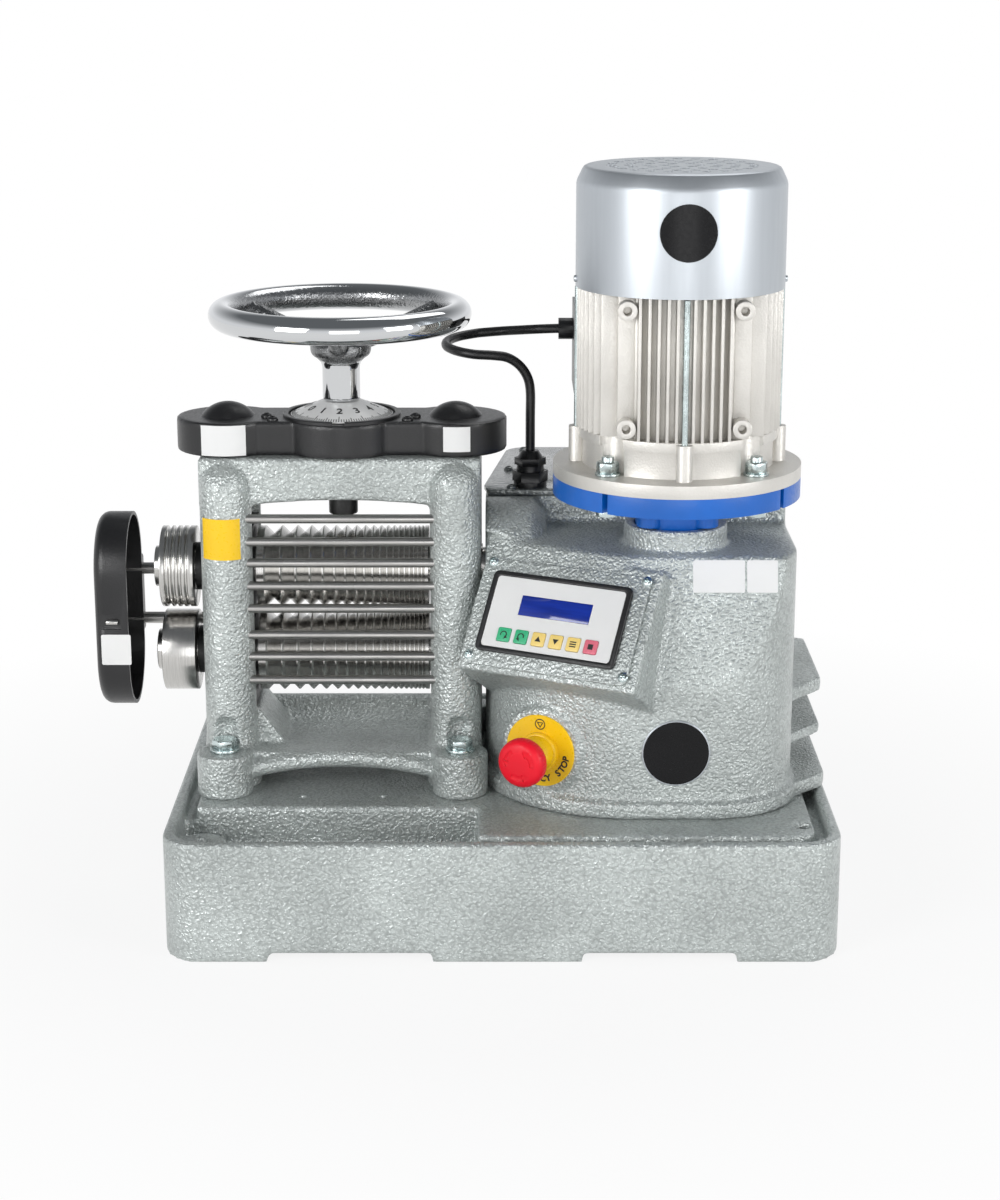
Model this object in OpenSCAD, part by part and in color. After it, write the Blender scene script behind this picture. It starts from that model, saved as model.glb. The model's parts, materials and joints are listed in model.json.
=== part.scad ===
// Electric wire rolling mill on a cast base, in millimetres.
// Origin at the centre of the base footprint, front towards -Y, up is +Z.

/* [Base] */
// width of the base casting
base_width = 540; // [536:1:600]
// depth of the base casting
base_depth = 400; // [396:1:460]
// height of the base platform
base_height = 100; // [94:1:120]
// thickness of the base walls
base_wall = 12; // [9:0.5:14]

/* [Roll stand] */
// diameter of the grooved rolls
roll_diameter = 68; // [62:0.5:69]
// length of the grooved barrel
roll_length = 142; // [124:1:142]
// opening between the rolls as set
roll_gap = 4.5; // [4.4:0.1:5.5]
// width of the first wire groove
first_groove = 14.5; // [10:0.5:15]
// diameter of the finger guard bars
bar_diameter = 7.5; // [6:0.5:9]
// width of the side rolls
side_roll_width = 28; // [22:1:28]

/* [Handwheel] */
// outer diameter of the handwheel
wheel_diameter = 215; // [190:1:230]
// thickness of the handwheel rim
wheel_rim = 22; // [18:1:29]
// outer diameter of the dial
dial_diameter = 84; // [74:1:86]

/* [Motor] */
// diameter over the motor fins
motor_diameter = 164; // [158:1:168]
// height of the finned body
motor_body_height = 112; // [108:1:130]
// height of the fan cover
fan_cover_height = 94; // [84:1:110]
// diameter of the mounting flange
flange_diameter = 200; // [198:1:206]

/* [Controls] */
// diameter of the stop button head
mushroom_diameter = 40; // [34:1:44]
// size of the panel keys
key_size = 11.4; // [9:0.2:12]
// diameter of the motor cable
cable_diameter = 8; // [6:0.5:9]

/* [Hidden] */
$fn = 48;

grey_paint = [0.66, 0.69, 0.68];
dark_grey = [0.34, 0.35, 0.37];
black = [0.06, 0.06, 0.07];
steel = [0.66, 0.66, 0.66];
zinc = [0.74, 0.78, 0.78];
bronze = [0.70, 0.52, 0.26];
blue_paint = [0.02, 0.30, 0.75];
alloy = [0.78, 0.77, 0.75];
white = [0.93, 0.93, 0.92];

// a sliding or turning fit, on the radius
fit = 0.05;

// base
half_w = base_width / 2;
half_d = base_depth / 2;
deck = base_height;
corner = 32;
foot_gap = 7;
rail_t = 12;
top_t = 14;
tray_floor = deck - 33;
tray_rear = -114;
tray_right = -19.5;
rim = 10;
groove = 10;
boss_x = half_w - 29;
boss_y = half_d - 45;
boss_r = 20;
boss_top = deck - 14;
bench_hole = 6.5;
rest_hole_y = -88;
rest_hole_x = 33;

// roll stand
stand_x = -132;
roll_y = -10;
cheek = 94;
cheek_half = 21;
lower_z = deck + 104.5;
upper_z = lower_z + roll_diameter + roll_gap;
nip_z = (lower_z + upper_z) / 2;
roll_r = roll_diameter / 2;
pillar_r = 21;
pillar_dy = 40;
pillar_top = deck + 275;
window_half = 35;
window_low = deck + 62;
crown_low = deck + 239;
crown_top = deck + 278;
crown_front = -55;
crown_rear = 35;
foot_dx = 97.5;
foot_dy = 66;
foot_r = 23;
foot_top = deck + 36;
pocket_r = 12.8;
bar_y = -58;
bar_z = [91.9, 112, 130.6, 153.1, 172.3, 191.7, 209.5, 228.8];
bar_reach = 8;
journal_r = 19;
neck_r = 15;
gear_shaft_r = 16;
barrel_room = cheek - cheek_half;
journal_out = cheek + cheek_half + 1;
block_half = window_half - 0.5;
block_split = 3;
upper_block_top = upper_z + 38;
collar_out = 123;
neck_end = stand_x - collar_out - side_roll_width - 2;
spring_dy = 27;
spring_r = 4;
spring_wire = 0.8;
spring_low = nip_z - block_split - 30;

// adjusting train
tooth = 2;
pinion_teeth = 18;
idler_teeth = 20;
screw_teeth = 36;
pinion_pitch = tooth * pinion_teeth / 2;
idler_pitch = tooth * idler_teeth / 2;
screw_pitch = tooth * screw_teeth / 2;
idler_dx = pinion_pitch + idler_pitch;
screw_dx = idler_dx + idler_pitch + screw_pitch;
screw_r = 12;
nut_r = 18;
spindle_r = 9;
bush_r = 13;
stub_r = 6;
cover_h = 28;
cover_top = crown_top + cover_h;
cover_wall = 3;
lobe_r = 42;
waist = 33;
middle_r = 50;

// handwheel
dial_low = cover_top + 0.6;
dial_top = cover_top + 12;
hub_low = cover_top + 42;
hub_top = cover_top + 64;
rim_z = cover_top + 84;
spoke_z = hub_low + 15;
spoke_start = 12;
spoke_r = 7.5;
sleeve_r = 15.5;
hub_r = 25;
rim_r = wheel_rim / 2;
rim_ring = wheel_diameter / 2 - rim_r;

// roll gears
gear_teeth = 16;
gear_tooth = roll_diameter / gear_teeth;
gear_x0 = -6;
gear_x1 = 22;

// gear housing
wall = 7;
house_left = -13.5;
house_front = -138.5;
house_right = 239.5;
house_rear = 185;
left_cx = 105;
left_cy = -20;
left_r = left_cx - house_left;
right_r = 69.5;
right_cx = house_right - right_r;
right_cy = house_front + right_r;
rear_r = 20;
rear_right_r = 90;
rear_left = 4;
bend_y = 30;
house_top = deck + 210;
crease_z = deck + 110;
slope = 17.5;
box_front = 10;
box_top = deck + 233;
lid_t = 5;
lid_top = box_top + lid_t;
lip = 6;
lip_h = 13;
fin_out = 270;
bulge_r = 58;
bulge_room = 47;
gear_room = gear_teeth * gear_tooth / 2 + 7;
bulge_x = 25;
seat_r = 42;
seat_h = 18;

// worm drive and motor
motor_x = 141.4;
worm_a = 50;
motor_y = roll_y - worm_a;
wheel_teeth = 40;
wheel_module = 2;
wheel_pitch = wheel_module * wheel_teeth / 2;
worm_step = PI * wheel_module;
worm_root = 7.4;
worm_tip = 12;
wheel_half = 4.5;
case_half = 42;
case_front = 84;
case_rear = 54;
case_high = 56;
neck_case_r = 33;
flange_low = deck + 252;
flange_mid = deck + 268;
flange_top = deck + 278.5;
flange_r = flange_diameter / 2;
shield_h = 29.5;
shield_top = flange_top + shield_h;
shield_r = motor_diameter / 2 - 2;
body_top = shield_top + motor_body_height;
cover_end = body_top + fan_cover_height;
fin_r = motor_diameter / 2;
core_r = fin_r - 9;
bore_r = core_r - 11;
bolt_pcd = 82.5;
rod_r = fin_r - 1;
shaft_r = 9.5;

// control panel
panel_c = [45.2, -114.3, deck + 159.4];
panel_yaw = 28;
panel_tilt = 33;
panel_w = 158;
panel_h = 103;
plate_w = 148;
plate_h = 91;
plate_t = 3;
bezel_w = 124;
bezel_h = 68.5;
face_w = 114.6;
face_h = 60;
face_t = 3;
screw_u = 68.8;
screw_v = 40;
key_step = 15.5;
key_v = -18.9;
key_gap = 0.3;
lcd_w = 63;
lcd_h = 17;
lcd_v = 7.5;

// stop button
stop_c = [31.5, -119.5, deck + 51];
stop_yaw = 26;
stop_boss = 35;
stop_disc = 30;
stem_r = 7;

// side guard
guard_x0 = -336.5;
guard_x1 = -308.7;
guard_r = 46;
guard_wall = 3;
guard_step = 7;
guard_rod_y = 38;
guard_rod_z = [lower_z + 14, lower_z + 58];
guard_rod_r = 5;

// cable run from the lid to the terminal box
term_x0 = 60;
term_x1 = 165;
term_y0 = 14;
term_y1 = 76;
term_z0 = shield_top + 11;
term_z1 = term_z0 + 72;
gland_x = 24;
gland_y = 28;
gland_top = lid_top + 30;
entry_y = 62;
entry_z = term_z0 + 47;
entry_x = term_x0 - 14;
route = [[gland_x, gland_y, gland_top - 6], [gland_x, gland_y, lid_top + 42],
  [gland_x, gland_y, lid_top + 60], [gland_x, gland_y, lid_top + 80],
  [21.6, 27.4, lid_top + 92.2], [14.9, 25.6, lid_top + 102.6],
  [4.9, 22.9, lid_top + 109.6], [-6.9, 19.7, lid_top + 112],
  [-23.5, 19.7, lid_top + 113], [-37.8, 28, lid_top + 114.5],
  [-46.1, 42.3, lid_top + 116], [-46.1, 58.9, lid_top + 117.5],
  [-37.8, 73.2, lid_top + 119], [-23.5, 81.5, lid_top + 120.5],
  [-15.2, 82.6, lid_top + 121.3], [0.9, 80, entry_z - 5],
  [15.4, 72.3, entry_z - 3], [29.9, 64.6, entry_z - 1],
  [entry_x, entry_y, entry_z], [entry_x + 8, entry_y, entry_z]];

function arc(cx, cy, r, a0, a1, n) =
  [for (i = [0 : n]) let (a = a0 + (a1 - a0) * i / n) [cx + r * cos(a), cy + r * sin(a)]];

// outline of the gear housing, drawn in by g
function house_plan(g) = concat(
  arc(left_cx, left_cy, left_r - g, 180, 270, 16),
  arc(right_cx, right_cy, right_r - g, 270, 360, 12),
  arc(house_right - rear_right_r, house_rear - rear_right_r, rear_right_r - g, 0, 90, 12),
  arc(rear_left + rear_r, house_rear - rear_r, rear_r - g, 90, 180, 4),
  [[house_left + g, bend_y]]);

// involute tooth angles in degrees
function inv(a) = tan(a) * 180 / PI - a;
function tooth_half(r, rp, n, lash) =
  90 / n - lash / rp * 90 / PI + inv(25) - inv(acos(min(1, rp * cos(25) / r)));
function tooth_radii(rp, m, add, ded) =
  let (rr = rp - ded * m, r0 = max(rr, rp * cos(25)), rt = rp + add * m)
  concat([rr], [for (i = [0 : 5]) r0 + (rt - r0) * i / 5]);
function gear_points(n, m, add, ded, lash) =
  let (rp = n * m / 2, rs = tooth_radii(rp, m, add, ded), k = len(rs))
  [for (t = [0 : n - 1]) for (s = [0 : 2 * k - 1])
    let (i = s < k ? s : 2 * k - 1 - s,
      h = tooth_half(max(rs[i], rp * cos(25)), rp, n, lash),
      a = 360 * t / n + (s < k ? -h : h))
    [rs[i] * cos(a), rs[i] * sin(a)]];

module gear(n, m, add, ded, lash, turn, h) {
  linear_extrude(h) rotate(turn) polygon(gear_points(n, m, add, ded, lash));
}

// lay a solid of revolution drawn along Z onto the X axis
module along_x(x, y, z) {
  translate([x, y, z]) rotate([0, 90, 0]) children();
}

module rod_x(x0, x1, y, z, r) {
  along_x(x0, y, z) cylinder(r = r, h = x1 - x0);
}

module block(x0, x1, y0, y1, z0, z1) {
  translate([x0, y0, z0]) cube([x1 - x0, y1 - y0, z1 - z0]);
}

module hex(af, h) {
  cylinder(r = af / sqrt(3), h = h, $fn = 6);
}

module slab(w, d, r, h) {
  linear_extrude(h) union() {
    square([w - 2 * r, d], center = true);
    square([w, d - 2 * r], center = true);
    for (x = [-1, 1]) for (y = [-1, 1])
      translate([x * (w / 2 - r), y * (d / 2 - r)]) circle(r);
  }
}

function unit(v) = v / norm(v);
function tangent(p, i) =
  unit(p[min(i + 1, len(p) - 1)] - p[max(i - 1, 0)]);
// a smooth run through hand-set points
function bend(p, i, t) =
  let (a = p[max(i - 1, 0)], b = p[i], c = p[i + 1], d = p[min(i + 2, len(p) - 1)])
  0.5 * (2 * b + (c - a) * t + (2 * a - 5 * b + 4 * c - d) * t * t
    + (3 * b - a - 3 * c + d) * t * t * t);
function smooth(p, n) = concat(
  [for (i = [0 : len(p) - 2]) for (k = [0 : n - 1]) bend(p, i, k / n)],
  [p[len(p) - 1]]);

// one closed tube swept along a list of points
module tube(p, r, sides, ref) {
  n = len(p);
  pts = [for (i = [0 : n - 1])
    let (t = tangent(p, i), s = unit(cross(t, ref)), u = cross(s, t))
    for (k = [0 : sides - 1])
      p[i] + r * (cos(360 * k / sides) * s + sin(360 * k / sides) * u)];
  sidef = [for (i = [0 : n - 2]) for (k = [0 : sides - 1]) for (h = [0, 1])
    let (a = i * sides + k, b = i * sides + (k + 1) % sides)
    h == 0 ? [a, b, b + sides] : [a, b + sides, a + sides]];
  ends = [[for (k = [sides - 1 : -1 : 0]) k],
    [for (k = [0 : sides - 1]) (n - 1) * sides + k]];
  polyhedron(points = pts, faces = concat(sidef, ends), convexity = 10);
}

// base casting with its tray, rails and bench bolt holes
module base_outline(g) {
  r = corner - g;
  slab(base_width - 2 * g, base_depth - 2 * g, r, deck);
}

module base_casting() color(grey_paint) difference() {
  union() {
    difference() {
      base_outline(0);
      translate([0, 0, rail_t]) intersection() {
        base_outline(base_wall);
        union() {
          block(-half_w, tray_right + 8, -half_d, tray_rear + 8, -1, tray_floor - 8 - rail_t);
          block(tray_right + 8, half_w, -half_d, half_d, -1, deck - top_t - rail_t);
          block(-half_w, half_w, tray_rear + 8, half_d, -1, deck - top_t - rail_t);
        }
      }
      block(-186, -55, base_wall - half_d, half_d - base_wall, -1, rail_t + 1);
      block(64, 187, base_wall - half_d, half_d - base_wall, -1, rail_t + 1);
      block(-186, -55, -half_d - 1, half_d + 1, -1, foot_gap);
      block(64, 187, -half_d - 1, half_d + 1, -1, foot_gap);
      translate([0, 0, deck - 12]) difference() {
        base_outline(rim);
        translate([0, 0, -1]) slab(base_width - 2 * rim - 2 * groove,
          base_depth - 2 * rim - 2 * groove, corner - rim - groove + 4, deck + 2);
      }
      intersection() {
        translate([0, 0, tray_floor]) base_outline(rim);
        union() {
          block(-half_w, tray_right, -half_d, tray_rear, tray_floor, deck + 1);
          block(-half_w, half_w, -half_d, 20 - half_d, tray_floor, deck + 1);
        }
      }
    }
    for (x = [-1, 1]) for (y = [-1, 1])
      translate([x * boss_x, y * boss_y, 0]) cylinder(r = boss_r, h = boss_top);
  }
  for (x = [-1, 1]) for (y = [-1, 1])
    translate([x * boss_x, y * boss_y, -1]) cylinder(r = bench_hole, h = deck + 2);
  for (x = [-1, 1])
    translate([stand_x + x * rest_hole_x, rest_hole_y, deck - 12]) cylinder(r = 2.5, h = 13);
  for (x = [-1, 1]) for (y = [-1, 1])
    translate([stand_x + x * foot_dx, roll_y + y * foot_dy, deck - 12])
      cylinder(r = 6 + fit, h = 13);
}

// roll stand: four pillars, crown, saddle and front arch
module pillar(x, y) {
  translate([x, y, deck]) cylinder(r = pillar_r, h = pillar_top - pillar_r - deck);
  translate([x, y, pillar_top - pillar_r]) sphere(r = pillar_r);
}

module arch_band(low_end, low_mid, high_end, high_mid) {
  half = cheek - 8;
  n = 16;
  polygon(concat(
    [for (i = [0 : n]) let (t = 2 * i / n - 1)
      [half * t, low_mid + (low_end - low_mid) * t * t]],
    [for (i = [n : -1 : 0]) let (t = 2 * i / n - 1)
      [half * t, high_mid + (high_end - high_mid) * t * t]]));
}

module roll_stand() color(grey_paint) difference() {
  union() {
    for (s = [-1, 1]) {
      for (d = [-1, 1]) {
        pillar(stand_x + s * cheek, roll_y + d * pillar_dy);
        translate([stand_x + s * foot_dx, roll_y + d * foot_dy, deck])
          cylinder(r = foot_r, h = foot_top - deck);
      }
      block(stand_x + s * cheek - cheek_half, stand_x + s * cheek + cheek_half,
        roll_y - pillar_dy, roll_y + pillar_dy, deck, crown_top);
    }
    block(stand_x - cheek - cheek_half, stand_x + cheek + cheek_half,
      crown_front, crown_rear, crown_low, crown_top);
    block(stand_x - cheek, stand_x + cheek, -72, roll_y + 50, deck + 24, deck + 38);
    block(stand_x - cheek, stand_x + cheek, roll_y + 40, roll_y + 52, deck + 6, deck + 49);
    translate([stand_x, -66, deck]) rotate([90, 0, 0]) linear_extrude(15)
      arch_band(10, 21, 22, 36);
  }
  for (s = [-1, 1])
    block(stand_x + s * cheek - cheek_half - 1, stand_x + s * cheek + cheek_half + 1,
      roll_y - window_half, roll_y + window_half, window_low, crown_low + 1);
  intersection() {
    translate([stand_x, roll_y, crown_low - 692]) rotate([90, 0, 0])
      cylinder(r = 696, h = 200, center = true, $fn = 256);
    block(stand_x - barrel_room, stand_x + barrel_room, crown_front - 1, crown_rear + 1,
      crown_low - 2, crown_low + 8);
  }
  for (s = [-1, 1]) for (d = [-1, 1])
    translate([stand_x + s * foot_dx, roll_y + d * foot_dy, 0]) {
      translate([0, 0, foot_top]) cylinder(r = pocket_r, h = 16);
      translate([0, 0, foot_top + 16]) sphere(r = pocket_r);
      cylinder(r = 6.5, h = foot_top + 1);
    }
  translate([stand_x, roll_y, crown_low - 10]) cylinder(r = bush_r + fit, h = 60);
  for (s = [-1, 1]) {
    translate([stand_x + s * screw_dx, roll_y, crown_low - 10]) cylinder(r = nut_r + fit, h = 60);
    translate([stand_x + s * idler_dx, roll_y, crown_top - 26]) cylinder(r = stub_r + fit, h = 30);
  }
  for (z = bar_z)
    rod_x(stand_x - barrel_room - bar_reach, stand_x + barrel_room + bar_reach, bar_y,
      deck + z, bar_diameter / 2 + fit);
  for (z = guard_rod_z)
    rod_x(stand_x - cheek - 30, stand_x - cheek + 8, guard_rod_y, z, guard_rod_r + fit);
}

module stand_bolts() color(zinc)
  for (s = [-1, 1]) for (d = [-1, 1])
    translate([stand_x + s * foot_dx, roll_y + d * foot_dy, 0]) {
      translate([0, 0, foot_top]) cylinder(r = 12, h = 2.5);
      translate([0, 0, foot_top + 2.5]) hex(18, 8);
      translate([0, 0, deck - 11]) cylinder(r = 6, h = foot_top - deck + 12);
    }

module guard_bars() color(steel)
  for (z = bar_z)
    rod_x(stand_x - barrel_room - bar_reach + 0.2, stand_x + barrel_room + bar_reach - 0.2,
      bar_y, deck + z, bar_diameter / 2);

// bearing blocks in the windows of the two cheeks
module bearing_block(s, z0, z1, axis_z) {
  x0 = stand_x + s * cheek - cheek_half + 1;
  x1 = stand_x + s * cheek + cheek_half - 1;
  difference() {
    union() {
      block(x0, x1, roll_y - block_half, roll_y + block_half, z0, z1);
      if (s < 0) rod_x(stand_x - collar_out, x0 + 1, roll_y, axis_z, 20);
    }
    rod_x(s < 0 ? stand_x - journal_out - 0.5 : x0 - 1, x1 + 1, roll_y, axis_z, journal_r + fit);
    if (s < 0) rod_x(stand_x - collar_out - 1, x1, roll_y, axis_z, neck_r + 0.5);
  }
}

module spring_holes() {
  for (s = [-1, 1]) for (d = [-1, 1])
    translate([stand_x + s * cheek, roll_y + d * spring_dy, spring_low])
      cylinder(r = spring_r + spring_wire + 0.4, h = 40);
}

module lower_bearing_blocks() color(dark_grey) difference() {
  for (s = [-1, 1]) bearing_block(s, window_low, nip_z - block_split, lower_z);
  spring_holes();
}

module upper_bearing_blocks() color(dark_grey)
  for (s = [-1, 1]) bearing_block(s, nip_z + block_split, upper_block_top, upper_z);

module lift_springs() color(steel)
  for (s = [-1, 1]) for (d = [-1, 1])
    translate([stand_x + s * cheek, roll_y + d * spring_dy, 0])
      tube([for (i = [0 : 48]) [spring_r * cos(45 * i), spring_r * sin(45 * i),
        spring_low + spring_wire
          + (nip_z + block_split - spring_low - 2 * spring_wire) * i / 48]],
        spring_wire, 6, [0, 0, 1]);

// adjusting gear cover with its middle ring and two domes
module cover_plan(g) {
  for (s = [-1, 1]) translate([s * screw_dx, 0]) circle(lobe_r - g);
  square([2 * screw_dx, 2 * (waist - g)], center = true);
  circle(middle_r - g);
}

module gear_cover() color(black) translate([stand_x, roll_y, 0]) difference() {
  union() {
    translate([0, 0, crown_top]) linear_extrude(cover_h) cover_plan(0);
    translate([0, 0, cover_top - 1]) cylinder(r = 48.5, h = 3.5);
    for (s = [-1, 1]) translate([s * screw_dx, 0, 0]) intersection() {
      translate([0, 0, cover_top - 16.5]) sphere(r = 27.5);
      translate([0, 0, cover_top - 2]) cylinder(r = 30, h = 20);
    }
  }
  translate([0, 0, crown_top - 1]) linear_extrude(cover_h - cover_wall + 1) cover_plan(cover_wall);
  translate([0, 0, cover_top]) cylinder(r = 44, h = 5);
  translate([0, 0, crown_top]) cylinder(r = 17, h = cover_h + 5);
  translate([-5, -60, cover_top]) cube([10, 20, 5]);
  cover_screw_places() translate([0, 0, cover_top - 8]) cylinder(r = 2 + fit, h = 9);
}

module cover_screw_places() {
  for (s = [-1, 1]) for (d = [-1, 1])
    translate([s * (58 + 3 * d), d * 7 - 18, 0]) children();
}

module cover_screws() color(black) translate([stand_x, roll_y, 0])
  cover_screw_places() {
    translate([0, 0, cover_top]) intersection() {
      translate([0, 0, -1.5]) sphere(r = 4.5);
      cylinder(r = 5, h = 5);
    }
    translate([0, 0, cover_top - 4]) cylinder(r = 2, h = 4.5);
  }

module crown_bushes() color(bronze) translate([stand_x, roll_y, 0]) {
  difference() {
    translate([0, 0, crown_low + 3]) cylinder(r = bush_r, h = crown_top - crown_low - 3);
    translate([0, 0, crown_low]) cylinder(r = spindle_r + fit, h = 60);
  }
  for (s = [-1, 1]) translate([s * screw_dx, 0, 0]) difference() {
    translate([0, 0, crown_low]) cylinder(r = nut_r, h = crown_top - crown_low);
    translate([0, 0, crown_low - 1]) cylinder(r = screw_r + fit, h = 60);
  }
}

// handwheel, spindle with its pinion, dial and lower nut
module handwheel() color(steel) translate([stand_x, roll_y, 0]) difference() {
  union() {
    translate([0, 0, rim_z]) rotate_extrude($fn = 96) translate([rim_ring, 0]) circle(rim_r);
    translate([0, 0, dial_top]) cylinder(r = sleeve_r, h = hub_low - dial_top + 1);
    translate([0, 0, hub_low]) cylinder(r = hub_r, h = hub_top - hub_low);
    for (a = [30, 150, 270]) rotate(a) translate([spoke_start, 0, spoke_z])
      rotate([0, 90 - atan2(rim_z - spoke_z, rim_ring - spoke_start), 0])
        cylinder(r = spoke_r, h = norm([rim_ring - spoke_start, rim_z - spoke_z]));
  }
  translate([0, 0, dial_top - 1]) cylinder(r = spindle_r, h = hub_top - dial_top - 4);
}

module spindle() color(steel) translate([stand_x, roll_y, 0]) {
  translate([0, 0, crown_low - 16]) cylinder(r = spindle_r, h = hub_top - 5 - crown_low + 16);
  translate([0, 0, crown_top + 3])
    gear(pinion_teeth, tooth, 0.9, 1.2, 0.2, 0, 19);
  translate([0, 0, crown_top + 0.3]) cylinder(r = 12, h = 3);
}

module dial() color(white) translate([stand_x, roll_y, 0]) difference() {
  translate([0, 0, dial_low]) cylinder(r1 = dial_diameter / 2, r2 = 17, h = dial_top - dial_low);
  translate([0, 0, dial_low - 1]) cylinder(r = spindle_r, h = 30);
}

module spindle_nut() color(black) translate([stand_x, roll_y, crown_low - 16]) difference() {
  cylinder(r = 12, h = 16.5);
  translate([0, 0, -1]) cylinder(r = spindle_r, h = 30);
}

module idler(s) color(steel) translate([stand_x + s * idler_dx, roll_y, 0]) {
  translate([0, 0, crown_top + 3]) gear(idler_teeth, tooth, 0.9, 1.2, 0.2, 9, 19);
  translate([0, 0, crown_top + 0.3]) cylinder(r = 9, h = 3);
  translate([0, 0, crown_top - 25]) cylinder(r = stub_r, h = 27);
}

module left_idler_gear() idler(-1);
module right_idler_gear() idler(1);

module pressure_screw(s) color(steel) translate([stand_x + s * screw_dx, roll_y, 0]) {
  translate([0, 0, upper_block_top]) cylinder(r = screw_r, h = crown_top + 18 - upper_block_top);
  translate([0, 0, crown_top + 8]) gear(screw_teeth, tooth, 0.9, 1.2, 0.2, 0, 8);
}

module left_screw() pressure_screw(-1);
module right_screw() pressure_screw(1);

// rolls: V grooves narrowing to the right, journals and shafts
groove_count = 19;
groove_shrink = 0.915;
groove_flat = 1;
groove_left = 6;
groove_sum = first_groove * (1 - pow(groove_shrink, groove_count)) / (1 - groove_shrink);
function groove_at(i) =
  first_groove * (1 - pow(groove_shrink, i)) / (1 - groove_shrink);
groove_fit = min(1, (roll_length - groove_left - 2) / groove_sum);

function groove_points() = concat(
  [[0, 0], [roll_r, 0]],
  [for (i = [0 : groove_count - 1]) for (k = [0 : 2])
    let (w = groove_fit * first_groove * pow(groove_shrink, i),
      x0 = groove_left + groove_fit * groove_at(i), f = min(groove_flat, w * 0.25))
    k == 0 ? [roll_r, x0] : k == 1 ? [roll_r - (w - f) / 2, x0 + (w - f) / 2]
      : [roll_r, x0 + w - f]],
  [[roll_r, roll_length], [0, roll_length]]);

module roll(z, right_end) {
  along_x(stand_x - roll_length / 2, roll_y, z) rotate_extrude() polygon(groove_points());
  rod_x(stand_x - journal_out, stand_x + journal_out, roll_y, z, journal_r);
  rod_x(neck_end, stand_x, roll_y, z, neck_r);
  rod_x(stand_x, right_end, roll_y, z, gear_shaft_r);
}

module side_roll(z, grooves) {
  x1 = stand_x - collar_out - 0.5;
  x0 = x1 - side_roll_width;
  difference() {
    union() {
      rod_x(x0, x1, roll_y, z, roll_r);
      rod_x(x0 - 6, x0 + 1, roll_y, z, 17);
    }
    rod_x(neck_end, x1 + 1, roll_y, z, neck_r);
    if (grooves) for (i = [0 : 3])
      along_x(x0 + side_roll_width * (0.22 + 0.19 * i), roll_y, z)
        rotate_extrude() translate([roll_r, 0]) circle(2 - 0.25 * i);
  }
}

module upper_roll() color(steel) roll(upper_z, gear_x1 + 8);
module lower_roll() color(steel) roll(lower_z, motor_x + case_half + 4);
module upper_side_roll() color(steel) side_roll(upper_z, true);
module lower_side_roll() color(steel) side_roll(lower_z, false);

module roll_gear(z, turn) {
  difference() {
    along_x(gear_x0, roll_y, z) gear(gear_teeth, gear_tooth, 1.08, 1.3, 0.5, turn, gear_x1 - gear_x0);
    rod_x(gear_x0 - 1, gear_x1 + 1, roll_y, z, gear_shaft_r);
  }
}

module upper_roll_gear() color(dark_grey) roll_gear(upper_z, 0);
module lower_roll_gear() color(dark_grey) roll_gear(lower_z, 180 / gear_teeth);

// worm wheel with straight gaps wide enough for the worm thread
function wheel_points() =
  [for (t = [0 : wheel_teeth - 1]) for (k = [0 : 3])
    let (a = 360 * (t + 0.5) / wheel_teeth,
      r = (k == 0 || k == 3) ? wheel_pitch - 2.6 : wheel_pitch + 2,
      h = ((k == 0 || k == 3) ? 2.2 : 0.55) * 180 / PI / r)
    [r * cos(a + (k < 2 ? -h : h)), r * sin(a + (k < 2 ? -h : h))]];

module worm_wheel() color(bronze) difference() {
  union() {
    along_x(motor_x - wheel_half, roll_y, lower_z) linear_extrude(2 * wheel_half)
      polygon(wheel_points());
    rod_x(motor_x - 13.5, motor_x + 13.5, roll_y, lower_z, 27);
  }
  rod_x(motor_x - 20, motor_x + 20, roll_y, lower_z, gear_shaft_r);
}

module worm_thread() {
  n = 80;
  pts = [for (i = [0 : n]) let (a = 90 + (i - n / 2) * 22.5,
      z = (i - n / 2) * worm_step / 16)
    for (k = [0 : 3])
      let (r = (k == 0 || k == 3) ? worm_root - 0.6 : worm_tip,
        dz = ((k == 0 || k == 3) ? 2.1 : 0.45) * (k < 2 ? -1 : 1))
      [r * cos(a), r * sin(a), z + dz]];
  sidef = [for (i = [0 : n - 1]) for (k = [0 : 3]) for (h = [0, 1])
    let (a = i * 4 + k, b = i * 4 + (k + 1) % 4)
    h == 0 ? [a, b, b + 4] : [a, b + 4, a + 4]];
  polyhedron(points = pts,
    faces = concat(sidef, [[3, 2, 1, 0]], [[n * 4, n * 4 + 1, n * 4 + 2, n * 4 + 3]]),
    convexity = 10);
}

module motor_rotor() color(steel) translate([motor_x, motor_y, 0]) {
  translate([0, 0, lower_z]) worm_thread();
  translate([0, 0, lower_z - 52]) cylinder(r = worm_root, h = 100);
  translate([0, 0, lower_z + 45]) cylinder(r = shaft_r, h = body_top + 52 - lower_z - 45);
  translate([0, 0, shield_top + 17]) cylinder(r = 38, h = motor_body_height - 32);
}

module cooling_fan() color(black) translate([motor_x, motor_y, body_top + 24]) difference() {
  union() {
    cylinder(r = 22, h = 22);
    cylinder(r = 62, h = 3);
    for (a = [0 : 45 : 315]) rotate(a) translate([20, -1.5, 0]) cube([42, 3, 20]);
  }
  translate([0, 0, -1]) cylinder(r = shaft_r, h = 40);
}

// gear housing: curved front, sloping upper face, panel box, fins and bulge
module panel_frame() {
  translate(panel_c) rotate([90 - panel_tilt, 0, -panel_yaw]) children();
}

module stop_frame() {
  translate(stop_c) rotate([90, 0, -stop_yaw]) children();
}

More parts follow.
